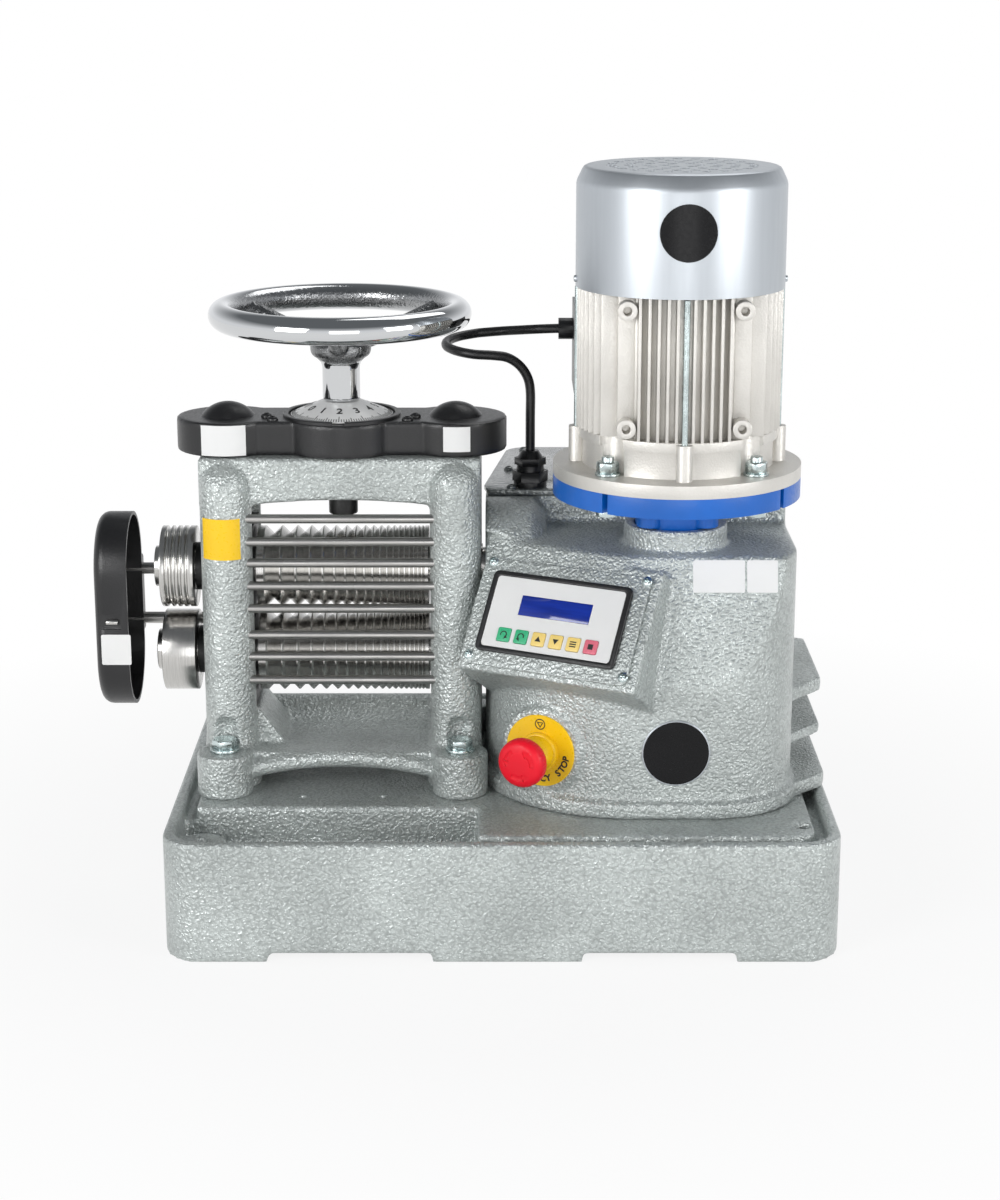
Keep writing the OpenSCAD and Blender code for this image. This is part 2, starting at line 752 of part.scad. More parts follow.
module house_shape(g, top) {
  difference() {
    translate([0, 0, deck - (g > 0 ? 1 : 0)]) linear_extrude(top - deck + (g > 0 ? 1 : 0) - g)
      polygon(house_plan(g));
    translate([-60, house_front + g * 1.05, crease_z]) rotate([-slope, 0, 0])
      translate([0, -150, 0]) cube([400, 150, 200]);
  }
  translate([0, 0, deck - (g > 0 ? 1 : 0)]) intersection() {
    linear_extrude(box_top - deck + 2 * (g > 0 ? 1 : 0)) polygon(house_plan(g));
    block(-50, 300, box_front + g, 300, 0, 400);
  }
  rod_x(house_left + g, bulge_x, roll_y, upper_z, g > 0 ? bulge_room : bulge_r);
  if (g == 0) along_x(bulge_x - 0.01, roll_y, upper_z)
    cylinder(r1 = bulge_r, r2 = bulge_r - 12, h = 12);
}

module fin_plan() {
  polygon([[house_right - 12, -60], [house_right - 1, -58], [fin_out - 2, -24],
    [fin_out, -18], [fin_out, 96], [house_right - 12, 118]]);
}

module gear_housing() color(grey_paint) difference() {
  union() {
    difference() {
      house_shape(0, house_top);
      panel_frame() translate([-panel_w / 2 - 20, -panel_h / 2, 0])
        cube([panel_w + 20, panel_h + 12, 60]);
    }
    translate([0, 0, deck]) linear_extrude(lip_h) union() {
      polygon(house_plan(-lip));
      polygon([[200, -122], [222, -110], [266, -68], [fin_out, -58], [fin_out, 96],
        [house_right - 4, 118], [200, 118]]);
    }
    translate([0, 0, deck + 34]) linear_extrude(9) fin_plan();
    translate([0, 0, deck + 71]) linear_extrude(12) fin_plan();
    difference() {
      panel_frame() translate([-panel_w / 2, -panel_h / 2, -62]) cube([panel_w, panel_h, 62]);
      translate([stand_x + cheek, roll_y - pillar_dy, deck]) cylinder(r = 25, h = 400);
      block(-90, stand_x + cheek + 25, roll_y - pillar_dy, 60, deck, deck + 400);
    }
    stop_frame() translate([0, 0, -30]) cylinder(r = stop_boss, h = 30);
    translate([motor_x, motor_y, house_top - 1]) cylinder(r = seat_r, h = seat_h + 1);
  }
  difference() {
    house_shape(wall, house_top);
    panel_frame() translate([-panel_w / 2, -panel_h / 2, -wall]) cube([panel_w, panel_h, 60]);
  }
  rod_x(house_left + wall, bulge_x, roll_y, lower_z, gear_room);
  block(stand_x + cheek, stand_x + cheek + cheek_half + fit, roll_y - pillar_dy,
    roll_y + pillar_dy, deck - 1, deck + lip_h + 1);
  for (d = [-1, 1]) translate([stand_x + cheek, roll_y + d * pillar_dy, deck - 1])
    cylinder(r = pillar_r + fit, h = lip_h + 2);
  for (d = [-1, 1]) translate([stand_x + foot_dx, roll_y + d * foot_dy, deck - 1])
    cylinder(r = foot_r + fit, h = foot_top - deck + 2);
  panel_frame() translate([-60, -36, -70]) cube([120, 72, 71]);
  panel_frame() screw_places() translate([0, 0, -10]) cylinder(r = 1.6, h = 11);
  stop_frame() translate([0, 0, -40]) cylinder(r = stem_r + 0.3, h = 42);
  rod_x(house_left - 1, house_left + wall + 1, roll_y, lower_z, gear_shaft_r + 2);
  for (d = [-5, 5])
    rod_x(house_left - 1, house_left + wall + 1, roll_y, upper_z + d, gear_shaft_r + 2);
  block(house_left - 1, house_left + wall + 1, roll_y - gear_shaft_r - 2,
    roll_y + gear_shaft_r + 2, upper_z - 5, upper_z + 5);
  translate([motor_x, motor_y, house_top - 20]) cylinder(r = neck_case_r + fit, h = 40);
  translate([50, house_rear - 12, deck + 60]) rotate([-90, 0, 0]) cylinder(r = 8 + fit, h = 20);
}

module housing_lid() color(dark_grey) difference() {
  translate([0, 0, box_top]) linear_extrude(lid_t) intersection() {
    polygon(house_plan(-1.5));
    translate([-50, box_front - 1.5]) square([400, 300]);
  }
  translate([gland_x, gland_y, box_top - 1]) cylinder(r = 8 + fit, h = 20);
}

module inverter_drive() color(dark_grey) {
  block(55, 170, 84, 170, deck, deck + 150);
}

// control panel on its sloping box
module screw_places() {
  for (x = [-1, 1]) for (y = [-1, 1])
    translate([-2 + x * screw_u, -1.5 + y * screw_v, 0]) children();
}

module control_panel() color(grey_paint) panel_frame() difference() {
  translate([-2, -1.5, 0]) slab(plate_w, plate_h, 6, plate_t);
  screw_places() translate([0, 0, -1]) cylinder(r = 1.7, h = 10);
}

module panel_screws() color(zinc) panel_frame() screw_places() {
  translate([0, 0, plate_t]) intersection() {
    translate([0, 0, -3]) sphere(r = 4.6);
    cylinder(r = 4, h = 4);
  }
  translate([0, 0, -8]) cylinder(r = 1.5, h = 8 + plate_t + 0.5);
}

module keypad_bezel() color(black) panel_frame() translate([-2, -1.5, plate_t]) difference() {
  slab(bezel_w, bezel_h, 5, face_t + 0.4);
  translate([0, 0, -1]) slab(face_w + 0.1, face_h + 0.1, 3, 10);
}

module key_places() {
  for (i = [0 : 5]) translate([(i - 2.5) * key_step, key_v, 0]) children();
}

module keypad_face() color(white) panel_frame() translate([-2, -1.5, plate_t]) difference() {
  slab(face_w, face_h, 3, face_t);
  key_places() translate([0, 0, -1])
    slab(key_size + 2 * key_gap, key_size + 2 * key_gap, 1.5, 10);
  translate([-lcd_w / 2, lcd_v - lcd_h / 2, face_t - 1]) cube([lcd_w, lcd_h, 5]);
}

module display_window() color([0.02, 0.05, 0.45]) panel_frame()
  translate([-2 - lcd_w / 2 + 0.02, -1.5 + lcd_v - lcd_h / 2 + 0.02, plate_t + face_t - 1])
    cube([lcd_w - 0.04, lcd_h - 0.04, 1.1]);

module key(i, c) color(c) panel_frame()
  translate([-2 + (i - 2.5) * key_step, -1.5 + key_v, plate_t + 0.7])
    slab(key_size, key_size, 1.2, face_t + 0.2);

module key_forward() key(0, [0.10, 0.62, 0.36]);
module key_reverse() key(1, [0.10, 0.62, 0.36]);
module key_up() key(2, [0.93, 0.76, 0.30]);
module key_down() key(3, [0.93, 0.76, 0.30]);
module key_menu() key(4, [0.93, 0.76, 0.30]);
module key_stop() key(5, [0.86, 0.28, 0.34]);

// stop button
module estop_plate() color([0.95, 0.75, 0.02]) stop_frame() difference() {
  cylinder(r = stop_disc, h = 1.5);
  translate([0, 0, -1]) cylinder(r = stem_r + 0.3, h = 5);
}

module estop_collar() color([0.95, 0.75, 0.02]) stop_frame() difference() {
  union() {
    translate([0, 0, 1.5]) cylinder(r = 16, h = 5);
    translate([0, 0, 6]) cylinder(r1 = 14, r2 = 12.5, h = 14);
  }
  cylinder(r = stem_r + 0.3, h = 30);
}

module estop_stem() color(dark_grey) stop_frame() {
  translate([0, 0, -26]) cylinder(r = stem_r, h = 54);
}

module estop_head() color([0.82, 0.05, 0.12]) stop_frame() difference() {
  union() {
    translate([0, 0, 26]) cylinder(r1 = 14, r2 = mushroom_diameter / 2, h = 4);
    translate([0, 0, 30]) cylinder(r = mushroom_diameter / 2, h = 8);
    translate([0, 0, 38]) cylinder(r1 = mushroom_diameter / 2,
      r2 = mushroom_diameter / 2 - 5, h = 4.5);
  }
  translate([0, 0, 20]) cylinder(r = stem_r + fit, h = 8);
}

// worm gearbox and motor
module gearbox_case() color(blue_paint) difference() {
  union() {
    block(motor_x - case_half, motor_x + case_half, roll_y - case_front, roll_y + case_rear,
      lower_z - case_high, lower_z + case_high);
    for (s = [-1, 1])
      block(motor_x + s * (case_half - 6) - 6, motor_x + s * (case_half - 6) + 6,
        roll_y - case_front + 4, roll_y + case_rear - 4, deck, lower_z - case_high + 6);
    translate([motor_x, motor_y, lower_z + case_high - 6])
      cylinder(r = neck_case_r, h = flange_low - lower_z - case_high + 7);
    for (s = [-1, 1]) translate([motor_x + s * 22, motor_y - 22, house_top + seat_h + 1])
      cylinder(r = 11, h = flange_low - house_top - seat_h);
    translate([motor_x, motor_y, flange_low]) cylinder(r = flange_r, h = flange_mid - flange_low);
  }
  rod_x(motor_x - 14, motor_x + 14, roll_y, lower_z, 46);
  translate([motor_x, motor_y, lower_z - 44]) cylinder(r = 16, h = 300);
  translate([motor_x, motor_y, lower_z - 60]) cylinder(r = worm_root + fit, h = 30);
  rod_x(motor_x - case_half - 1, motor_x + case_half + 1, roll_y, lower_z, gear_shaft_r + fit);
  for (a = [45 : 90 : 315]) translate([motor_x, motor_y, 0]) rotate(a) {
    translate([bolt_pcd, 0, flange_low - 1]) cylinder(r = 5.5, h = 40);
    translate([bolt_pcd - 9, 10, flange_low - 1]) cube([40, 5, 40]);
  }
}

module flange_bolts() color(zinc) translate([motor_x, motor_y, 0])
  for (a = [45 : 90 : 315]) rotate(a) translate([bolt_pcd, 0, 0]) {
    translate([0, 0, flange_low - 6.5]) hex(16, 6.5);
    translate([0, 0, flange_low - 1]) cylinder(r = 5, h = flange_top - flange_low + 15);
    translate([0, 0, flange_top]) cylinder(r = 10, h = 2);
    translate([0, 0, flange_top + 2]) hex(16, 9);
  }

module motor_flange() color(alloy) translate([motor_x, motor_y, 0]) difference() {
  union() {
    translate([0, 0, flange_mid]) cylinder(r = flange_r, h = flange_top - flange_mid);
    translate([0, 0, flange_top - 1]) cylinder(r = shield_r - 3, h = shield_top - flange_top - 6);
    translate([0, 0, shield_top - 8]) cylinder(r = shield_r, h = 8);
    for (a = [0 : 90 : 270]) rotate(a) translate([rod_r, 0, flange_top - 1])
      cylinder(r = 6.5, h = shield_top - flange_top);
  }
  translate([0, 0, flange_mid - 1]) cylinder(r = 14, h = 60);
  translate([0, 0, shield_top - 20]) cylinder(r = bore_r, h = 30);
  translate([0, 0, shield_top - 33]) cylinder(r = 20 + fit, h = 30);
  for (a = [45 : 90 : 315]) rotate(a) translate([bolt_pcd, 0, 0]) {
    translate([0, 0, flange_mid - 1]) cylinder(r = 5.5, h = 40);
    translate([0, 0, flange_top]) cylinder(r = 13, h = 60);
  }
  for (a = [0 : 90 : 270]) rotate(a) translate([rod_r, 0, flange_top + 8])
    cylinder(r = 2.5 + fit, h = 60);
}

module motor_bearings() color(steel) translate([motor_x, motor_y, 0])
  for (z = [shield_top - 33, body_top + 4]) translate([0, 0, z]) difference() {
    cylinder(r = 20, h = 12);
    translate([0, 0, -1]) cylinder(r = shaft_r + fit, h = 20);
  }

fin_t = 2.4;
fin_first = 6.5;
fin_pitch = 7.2;
pad_dx = fin_r * 0.55;
pad_face = fin_r * 0.76;
eye_face = fin_r - 7;
eye_rise = 10;

// straight fins towards one side, with their tips on one circle
module fin_row(count) {
  for (s = [-1, 1]) for (i = [0 : count - 1])
    let (x = fin_first + i * fin_pitch, root = sqrt(core_r * core_r - x * x) - 4,
      tip = sqrt(fin_r * fin_r - (x + fin_t / 2) * (x + fin_t / 2)))
      translate([s * x - fin_t / 2, root]) square([fin_t, tip - root]);
}

module motor_body() color(alloy) translate([motor_x, motor_y, 0]) difference() {
  union() {
    translate([0, 0, shield_top]) linear_extrude(motor_body_height) union() {
      circle(core_r);
      for (a = [0, 180]) rotate(a) fin_row(5);
      for (a = [90, 270]) rotate(a) fin_row(7);
      for (s = [-1, 1]) translate([s * pad_dx - 6.5, -pad_face]) square([13, pad_face / 2]);
    }
    translate([0, 0, body_top - 1]) cylinder(r = core_r - 2, h = 8);
    for (z = [eye_rise, motor_body_height - eye_rise]) for (s = [-1, 1])
      translate([s * pad_dx, -pad_face + 8, shield_top + z]) rotate([90, 0, 0])
        cylinder(r = 7.5, h = eye_face - pad_face + 8);
  }
  translate([0, 0, shield_top - 1]) cylinder(r = bore_r + fit, h = motor_body_height - 8);
  translate([0, 0, body_top - 20]) cylinder(r = 20 + fit, h = 36);
  for (z = [eye_rise, motor_body_height - eye_rise]) for (s = [-1, 1])
    translate([s * pad_dx, -eye_face - 1, shield_top + z]) rotate([-90, 0, 0]) cylinder(r = 3.4, h = 14);
}

module stator_core() color(dark_grey) translate([motor_x, motor_y, shield_top + 15]) difference() {
  cylinder(r = bore_r, h = motor_body_height - 28);
  translate([0, 0, -1]) cylinder(r = 39, h = 200);
}

module tie_rods() color(zinc) translate([motor_x, motor_y, 0])
  for (a = [0 : 90 : 270]) rotate(a) translate([rod_r, 0, 0]) {
    translate([0, 0, flange_top + 8.2]) cylinder(r = 2.5, h = body_top - flange_top - 9);
  }

module fan_cover() color(alloy) translate([motor_x, motor_y, 0]) difference() {
  rotate_extrude($fn = 96) polygon([[0, cover_end], [fin_r - 5, cover_end],
    [fin_r + 1, cover_end - 11], [fin_r + 1, body_top], [core_r - 1.95, body_top],
    [core_r - 1.95, body_top + 3], [fin_r - 1, body_top + 3], [fin_r - 1, cover_end - 12],
    [fin_r - 6, cover_end - 2], [0, cover_end - 2]]);
  for (i = [1 : 4]) for (a = [0 : 360 / (6 * i) : 359]) rotate(a)
    translate([14 * i, 0, cover_end - 5]) cylinder(r = 4, h = 10);
}

// terminal box behind the motor, glands and the cable between them
module terminal_box() color(black) difference() {
  block(term_x0, term_x1, term_y0, term_y1, term_z0, term_z1);
  translate([motor_x, motor_y, shield_top]) cylinder(r = fin_r + 0.15, h = 200);
  translate([motor_x, motor_y + rod_r, shield_top]) cylinder(r = 2.5 + 0.3, h = 200);
  block(term_x0 + 4, term_x1 - 4, term_y0 + 26, term_y1 - 4, term_z0 + 4, term_z1 - 4);
  rod_x(term_x0 - 1, term_x0 + 6, entry_y, entry_z, 7 + fit);
}

module gland() {
  translate([0, 0, -4]) cylinder(r = 7, h = 6);
  cylinder(r = 14, h = 4);
  translate([0, 0, 4]) hex(26, 9);
  translate([0, 0, 13]) cylinder(r = 11.5, h = 5);
  translate([0, 0, 18]) hex(23, 6);
  translate([0, 0, 24]) cylinder(r1 = 11, r2 = 7, h = 6);
}

module cable_glands() color(black) {
  difference() {
    translate([gland_x, gland_y, lid_top]) gland();
    translate([gland_x, gland_y, lid_top + 15]) cylinder(r = cable_diameter / 2, h = 40);
  }
  difference() {
    union() {
      rod_x(entry_x + 2, term_x0, entry_y, entry_z, 9);
      rod_x(term_x0 - 1, term_x0 + 4, entry_y, entry_z, 7);
    }
    rod_x(entry_x - 10, term_x0 + 10, entry_y, entry_z, cable_diameter / 2);
  }
}

module motor_cable() color(black)
  tube(smooth(route, 3), cable_diameter / 2, 10, [0.5, 1, 0.8]);

module mains_inlet() color(black) translate([50, house_rear, deck + 60]) rotate([-90, 0, 0]) {
  translate([0, 0, -5]) cylinder(r = 8, h = 6);
  hex(24, 7);
  translate([0, 0, 7]) cylinder(r1 = 10, r2 = 8, h = 10);
}

// sliding guard over the side rolls
module guard_plan(r) {
  translate([-lower_z, roll_y]) circle(r);
  translate([-upper_z, roll_y]) circle(r);
  translate([-upper_z, roll_y - r]) square([upper_z - lower_z, 2 * r]);
}

module side_guard() color(black) difference() {
  union() {
    translate([guard_x0 + guard_step, 0, 0]) rotate([0, 90, 0])
      linear_extrude(guard_x1 - guard_x0 - guard_step) guard_plan(guard_r);
    translate([guard_x0, 0, 0]) rotate([0, 90, 0])
      linear_extrude(guard_step + 1) guard_plan(guard_r - guard_step);
    block(guard_x0 + guard_step, guard_x1, roll_y + 20, guard_rod_y + 10, lower_z + 2, lower_z + 70);
  }
  translate([guard_x0 + guard_wall, 0, 0]) rotate([0, 90, 0])
    linear_extrude(guard_step) guard_plan(guard_r - guard_step - guard_wall);
  translate([guard_x0 + guard_step + guard_wall, 0, 0]) rotate([0, 90, 0])
    linear_extrude(60) guard_plan(guard_r - guard_wall);
  for (z = guard_rod_z)
    rod_x(guard_x0 - 1, guard_x1 + 1, guard_rod_y, z, guard_rod_r + fit);
  block(guard_x0 - 1, guard_x1 - 8, roll_y - guard_r - 1, roll_y - guard_r + 1.8,
    nip_z - 8, nip_z + 8);
}

module guard_pin() color(steel) {
  rod_x(guard_x0 + 10, guard_x1 - 8, roll_y - guard_r - 0.4, nip_z, 2.2);
}

module guard_rods() color(steel)
  for (z = guard_rod_z)
    rod_x(guard_x0 + 10, stand_x - cheek + 7.8, guard_rod_y, z, guard_rod_r);

base_casting();
roll_stand();
stand_bolts();
guard_bars();
lower_bearing_blocks();
gear_cover();
cover_screws();
crown_bushes();
gear_housing();
housing_lid();
inverter_drive();
control_panel();
panel_screws();
keypad_bezel();
keypad_face();
display_window();
estop_plate();
estop_collar();
gearbox_case();
flange_bolts();
motor_flange();
motor_body();
stator_core();
tie_rods();
fan_cover();
motor_bearings();
terminal_box();
cable_glands();
motor_cable();
guard_rods();
mains_inlet();
lift_springs();
handwheel();
spindle();
dial();
spindle_nut();
left_idler_gear();
right_idler_gear();
left_screw();
right_screw();
upper_bearing_blocks();
upper_roll();
upper_side_roll();
upper_roll_gear();
lower_roll();
lower_side_roll();
lower_roll_gear();
worm_wheel();
motor_rotor();
cooling_fan();
estop_stem();
estop_head();
key_forward();
key_reverse();
key_up();
key_down();
key_menu();
key_stop();
side_guard();
guard_pin();
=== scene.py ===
"""Looks of an electric wire rolling mill: castings, rolls, handwheel, motor, controls and stage."""

import json
import math

import bpy
from mathutils import Matrix, Vector

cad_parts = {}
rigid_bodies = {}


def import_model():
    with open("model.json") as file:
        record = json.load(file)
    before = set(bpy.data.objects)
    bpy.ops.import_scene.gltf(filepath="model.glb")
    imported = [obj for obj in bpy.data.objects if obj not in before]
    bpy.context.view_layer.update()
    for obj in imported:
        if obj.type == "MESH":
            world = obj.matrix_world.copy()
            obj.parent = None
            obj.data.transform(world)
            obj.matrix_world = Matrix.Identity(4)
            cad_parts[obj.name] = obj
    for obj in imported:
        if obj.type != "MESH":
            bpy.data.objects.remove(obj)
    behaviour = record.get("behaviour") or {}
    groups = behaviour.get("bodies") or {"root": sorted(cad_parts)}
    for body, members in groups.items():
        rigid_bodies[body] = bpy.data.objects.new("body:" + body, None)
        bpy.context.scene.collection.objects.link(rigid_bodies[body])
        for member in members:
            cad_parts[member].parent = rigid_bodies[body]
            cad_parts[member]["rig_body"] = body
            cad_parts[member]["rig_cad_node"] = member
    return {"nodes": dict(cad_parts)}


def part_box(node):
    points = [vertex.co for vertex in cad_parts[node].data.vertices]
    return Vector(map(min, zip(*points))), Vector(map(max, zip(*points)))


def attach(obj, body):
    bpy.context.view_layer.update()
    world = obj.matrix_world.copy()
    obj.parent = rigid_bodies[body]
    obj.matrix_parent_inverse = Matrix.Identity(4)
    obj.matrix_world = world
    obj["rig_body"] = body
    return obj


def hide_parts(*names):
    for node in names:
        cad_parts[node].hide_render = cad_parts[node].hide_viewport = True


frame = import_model()

bl_info = {
    "name": "Wire Rolling Mill Looks",
    "version": (1, 0, 0),
    "blender": (4, 5, 0),
    "location": "3D View > Sidebar > Rolling Mill",
    "description": "Builds the visible pieces of an electric wire rolling mill around its CAD frame",
    "category": "Object",
}

# Lengths in this file are millimetres, and Blender's are metres.
MM = 0.001
TURN = 2 * math.pi


class Span:
    """The box that a CAD node fills, in millimetres."""

    def __init__(self, node):
        low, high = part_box(node)
        self.low = low / MM
        self.high = high / MM
        self.mid = (self.low + self.high) / 2
        self.size = self.high - self.low


def place_at(x, y, z=0):
    return Matrix.Translation(Vector((x, y, z)))


def turned_by(degrees, axis):
    return Matrix.Rotation(math.radians(degrees), 4, axis)


BASE = Span("base_casting")
STAND = Span("roll_stand")
LID = Span("housing_lid")
WHEEL = Span("handwheel")
DIAL = Span("dial")
UPPER = Span("upper_roll")
LOWER = Span("lower_roll")
FAN_COVER = Span("fan_cover")
FLANGE = Span("motor_flange")
GUARD = Span("side_guard")

DECK = BASE.high.z
STAND_X = WHEEL.mid.x
ROLL_Y = UPPER.mid.y
CROWN_TOP = STAND.high.z
CROWN_LOW = CROWN_TOP - 39
COVER_TOP = DIAL.low.z - 0.6
CHEEK = 94
PILLAR_R = 21
PILLAR_DY = 40
FOOT_R = 23
FOOT_TOP = DECK + 36
FOOT_DX = 97.5
FOOT_DY = 66
POCKET_R = 12.8
COVER_LOBE_R = 42
HOUSE_LEFT, HOUSE_FRONT, HOUSE_RIGHT, HOUSE_REAR = -13.5, -138.5, 239.5, 185
HOUSE_ARC_X, HOUSE_ARC_Y = 105, -20
HOUSE_SIDE_R, HOUSE_CORNER_R = 90, 20
HOUSE_SLOPE = -17.5
PANEL_HALF_X, PANEL_HALF_Y = 79, 51.5
PANEL_THICK = 3
KEY_PITCH, KEY_ROW = 15.5, -18.9
GLAND_X, GLAND_Y = 24, 28
CABLE_R = 4
MOTOR_X = FAN_COVER.mid.x
MOTOR_Y = FAN_COVER.mid.y
MOTOR_R = FAN_COVER.size.x / 2 - 1
BODY_TOP = FAN_COVER.low.z
BOLT_CIRCLE_R = 82.5
SHIELD_TOP = BODY_TOP - 112

COVER_SCREWS = [(side * (58 + 3 * back), back * 7 - 18) for side in (-1, 1) for back in (-1, 1)]

# the sloping panel and the stop button each have a frame of their own, with +Z out of the face
PANEL = place_at(45.2, -114.3, 259.4) @ turned_by(-28, "Z") @ turned_by(57, "X")
STOP = place_at(31.5, -119.5, 151) @ turned_by(-26, "Z") @ turned_by(90, "X")
UPRIGHT = turned_by(90, "X")


# selection and modelling helpers


def deselect():
    if bpy.context.object is not None and bpy.context.object.mode != "OBJECT":
        bpy.ops.object.mode_set(mode="OBJECT")
    bpy.ops.object.select_all(action="DESELECT")


def only(piece):
    deselect()
    piece.select_set(True)
    bpy.context.view_layer.objects.active = piece
    return piece


def edit(piece):
    only(piece)
    bpy.ops.object.mode_set(mode="EDIT")
    bpy.ops.mesh.select_all(action="SELECT")


def leave():
    bpy.ops.object.mode_set(mode="OBJECT")


def settled(piece):
    """Puts a piece's place, turn and scale into its mesh."""
    only(piece)
    bpy.ops.object.transform_apply(location=True, rotation=True, scale=True)
    return piece


def placed(piece, matrix):
    """Moves a piece by a matrix given in millimetres."""
    shift = matrix.copy()
    shift.translation = matrix.translation * MM
    piece.matrix_world = shift @ piece.matrix_world
    return settled(piece)


def moved(piece, x, y, z):
    return placed(piece, place_at(x, y, z))


def copied(piece):
    only(piece)
    bpy.ops.object.duplicate(linked=False)
    return bpy.context.active_object


def removed(piece):
    bpy.data.objects.remove(piece, do_unlink=True)


def joined(*pieces):
    only(pieces[0])
    for piece in pieces[1:]:
        piece.select_set(True)
    if len(pieces) > 1:
        bpy.ops.object.join()
    return pieces[0]


def repeated(piece, places):
    """Copies of a piece at every place, joined, with the first one taken away."""
    copies = [placed(copied(piece), place) for place in places]
    removed(piece)
    return joined(*copies)


def apply(piece, kind, **settings):
    """Adds one modifier with its settings and applies it."""
    only(piece)
    step = piece.modifiers.new(kind.lower(), kind)
    for name, value in settings.items():
        setattr(step, name, value)
    bpy.ops.object.modifier_apply(modifier=step.name)
    return piece


def carved(piece, *tools):
    """Cuts the tools out of a piece."""
    tool = joined(*tools)
    apply(piece, "BOOLEAN", operation="DIFFERENCE", solver="EXACT", use_self=True, object=tool)
    removed(tool)
    return piece


def kept_inside(piece, tool):
    """Leaves what a piece and the tool share."""
    apply(piece, "BOOLEAN", operation="INTERSECT", solver="EXACT", object=tool)
    removed(tool)
    return piece


def eased(piece, width, segments=3, angle=35):
    """Rounds the sharp edges of a piece."""
    return apply(
        piece,
        "BEVEL",
        width=width * MM,
        segments=segments,
        limit_method="ANGLE",
        angle_limit=math.radians(angle),
        use_clamp_overlap=True,
    )


def cast(piece, grain, rounds, share=1.0):
    """Turns joined solids into one casting with a fillet in every corner."""
    apply(piece, "REMESH", mode="VOXEL", voxel_size=grain * MM, adaptivity=0.0)
    apply(piece, "SMOOTH", factor=0.5, iterations=rounds)
    if share < 1:
        apply(piece, "DECIMATE", ratio=share)
    return piece


def softened(node, width, segments=2):
    """A copy of a CAD node with its sharp edges rounded."""
    piece = copied(frame["nodes"][node])
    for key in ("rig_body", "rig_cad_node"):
        del piece[key]
    piece.parent = None
    edit(piece)
    bpy.ops.mesh.remove_doubles(threshold=0.002 * MM)
    bpy.ops.mesh.dissolve_limited(angle_limit=math.radians(1))
    leave()
    return eased(piece, width, segments) if width else piece


def polar(radius, degrees):
    turn = math.radians(degrees)
    return radius * math.cos(turn), radius * math.sin(turn)


def arc(cx, cy, radius, start, end, steps):
    """Points of an arc, with its angles in degrees."""
    turn = [math.radians(start + (end - start) * i / steps) for i in range(steps + 1)]
    return [(cx + radius * math.cos(a), cy + radius * math.sin(a)) for a in turn]


def rounded(half_x, half_y, radius, steps=8):
    """A rectangle about the origin with round corners."""
    inner_x, inner_y = half_x - radius, half_y - radius
    return (
        arc(inner_x, inner_y, radius, 0, 90, steps)
        + arc(-inner_x, inner_y, radius, 90, 180, steps)
        + arc(-inner_x, -inner_y, radius, 180, 270, steps)
        + arc(inner_x, -inner_y, radius, 270, 360, steps)
    )


def add_box(low, high):
    low, high = Vector(low) * MM, Vector(high) * MM
    deselect()
    bpy.ops.mesh.primitive_cube_add(size=1, location=(low + high) / 2, scale=high - low)
    return settled(bpy.context.active_object)


def add_rod(start, end, radius, tip=None, sides=48):
    start, end = Vector(start) * MM, Vector(end) * MM
    way = end - start
    deselect()
    bpy.ops.mesh.primitive_cone_add(
        vertices=sides,
        radius1=radius * MM,
        radius2=(radius if tip is None else tip) * MM,
        depth=way.length,
        location=(start + end) / 2,
        rotation=way.to_track_quat("Z", "Y").to_euler(),
    )
    return settled(bpy.context.active_object)


def add_ball(centre, radius, segments=48):
    deselect()
    bpy.ops.mesh.primitive_uv_sphere_add(
        segments=segments,
        ring_count=segments // 2,
        radius=radius * MM,
        location=Vector(centre) * MM,
    )
    return settled(bpy.context.active_object)


def add_plan(points, low, high):
    """An outline in XY, raised from one height to another."""
    deselect()
    bpy.ops.mesh.primitive_circle_add(vertices=len(points), fill_type="NGON")
    piece = bpy.context.active_object
    for vertex, (x, y) in zip(piece.data.vertices, points):
        vertex.co = (x * MM, y * MM, low * MM)
    edit(piece)
    lift = {"value": (0, 0, (high - low) * MM)}
    bpy.ops.mesh.extrude_region_move(TRANSFORM_OT_translate=lift)
    bpy.ops.mesh.select_all(action="SELECT")
    bpy.ops.mesh.normals_make_consistent(inside=False)
    leave()
    return piece


def add_side(points, front, back):
    """An outline in XZ, carried from a front Y to a back Y."""
    piece = add_plan(points, -back, -front)
    return placed(piece, UPRIGHT)


def add_profile(points, left, right):
    """An outline in YZ, carried from a left X to a right X."""
    piece = add_plan(points, left, right)
    return placed(piece, Matrix(((0, 0, 1, 0), (1, 0, 0, 0), (0, 1, 0, 0), (0, 0, 0, 1))))


def add_turned(section, steps=96):
    """A closed section of (radius, height) points spun about Z."""
    deselect()
    bpy.ops.mesh.primitive_circle_add(vertices=len(section), fill_type="NOTHING")
    piece = bpy.context.active_object
    for vertex, (radius, height) in zip(piece.data.vertices, section):
        vertex.co = (radius * MM, 0, height * MM)
    edit(piece)
    bpy.ops.mesh.spin(steps=steps, angle=TURN, center=(0, 0, 0), axis=(0, 0, 1))
    bpy.ops.mesh.select_all(action="SELECT")
    bpy.ops.mesh.remove_doubles(threshold=0.002 * MM)
    bpy.ops.mesh.dissolve_degenerate(threshold=0.002 * MM)
    bpy.ops.mesh.delete_loose()
    bpy.ops.mesh.select_all(action="SELECT")
    bpy.ops.mesh.normals_make_consistent(inside=False)
    leave()
    return piece


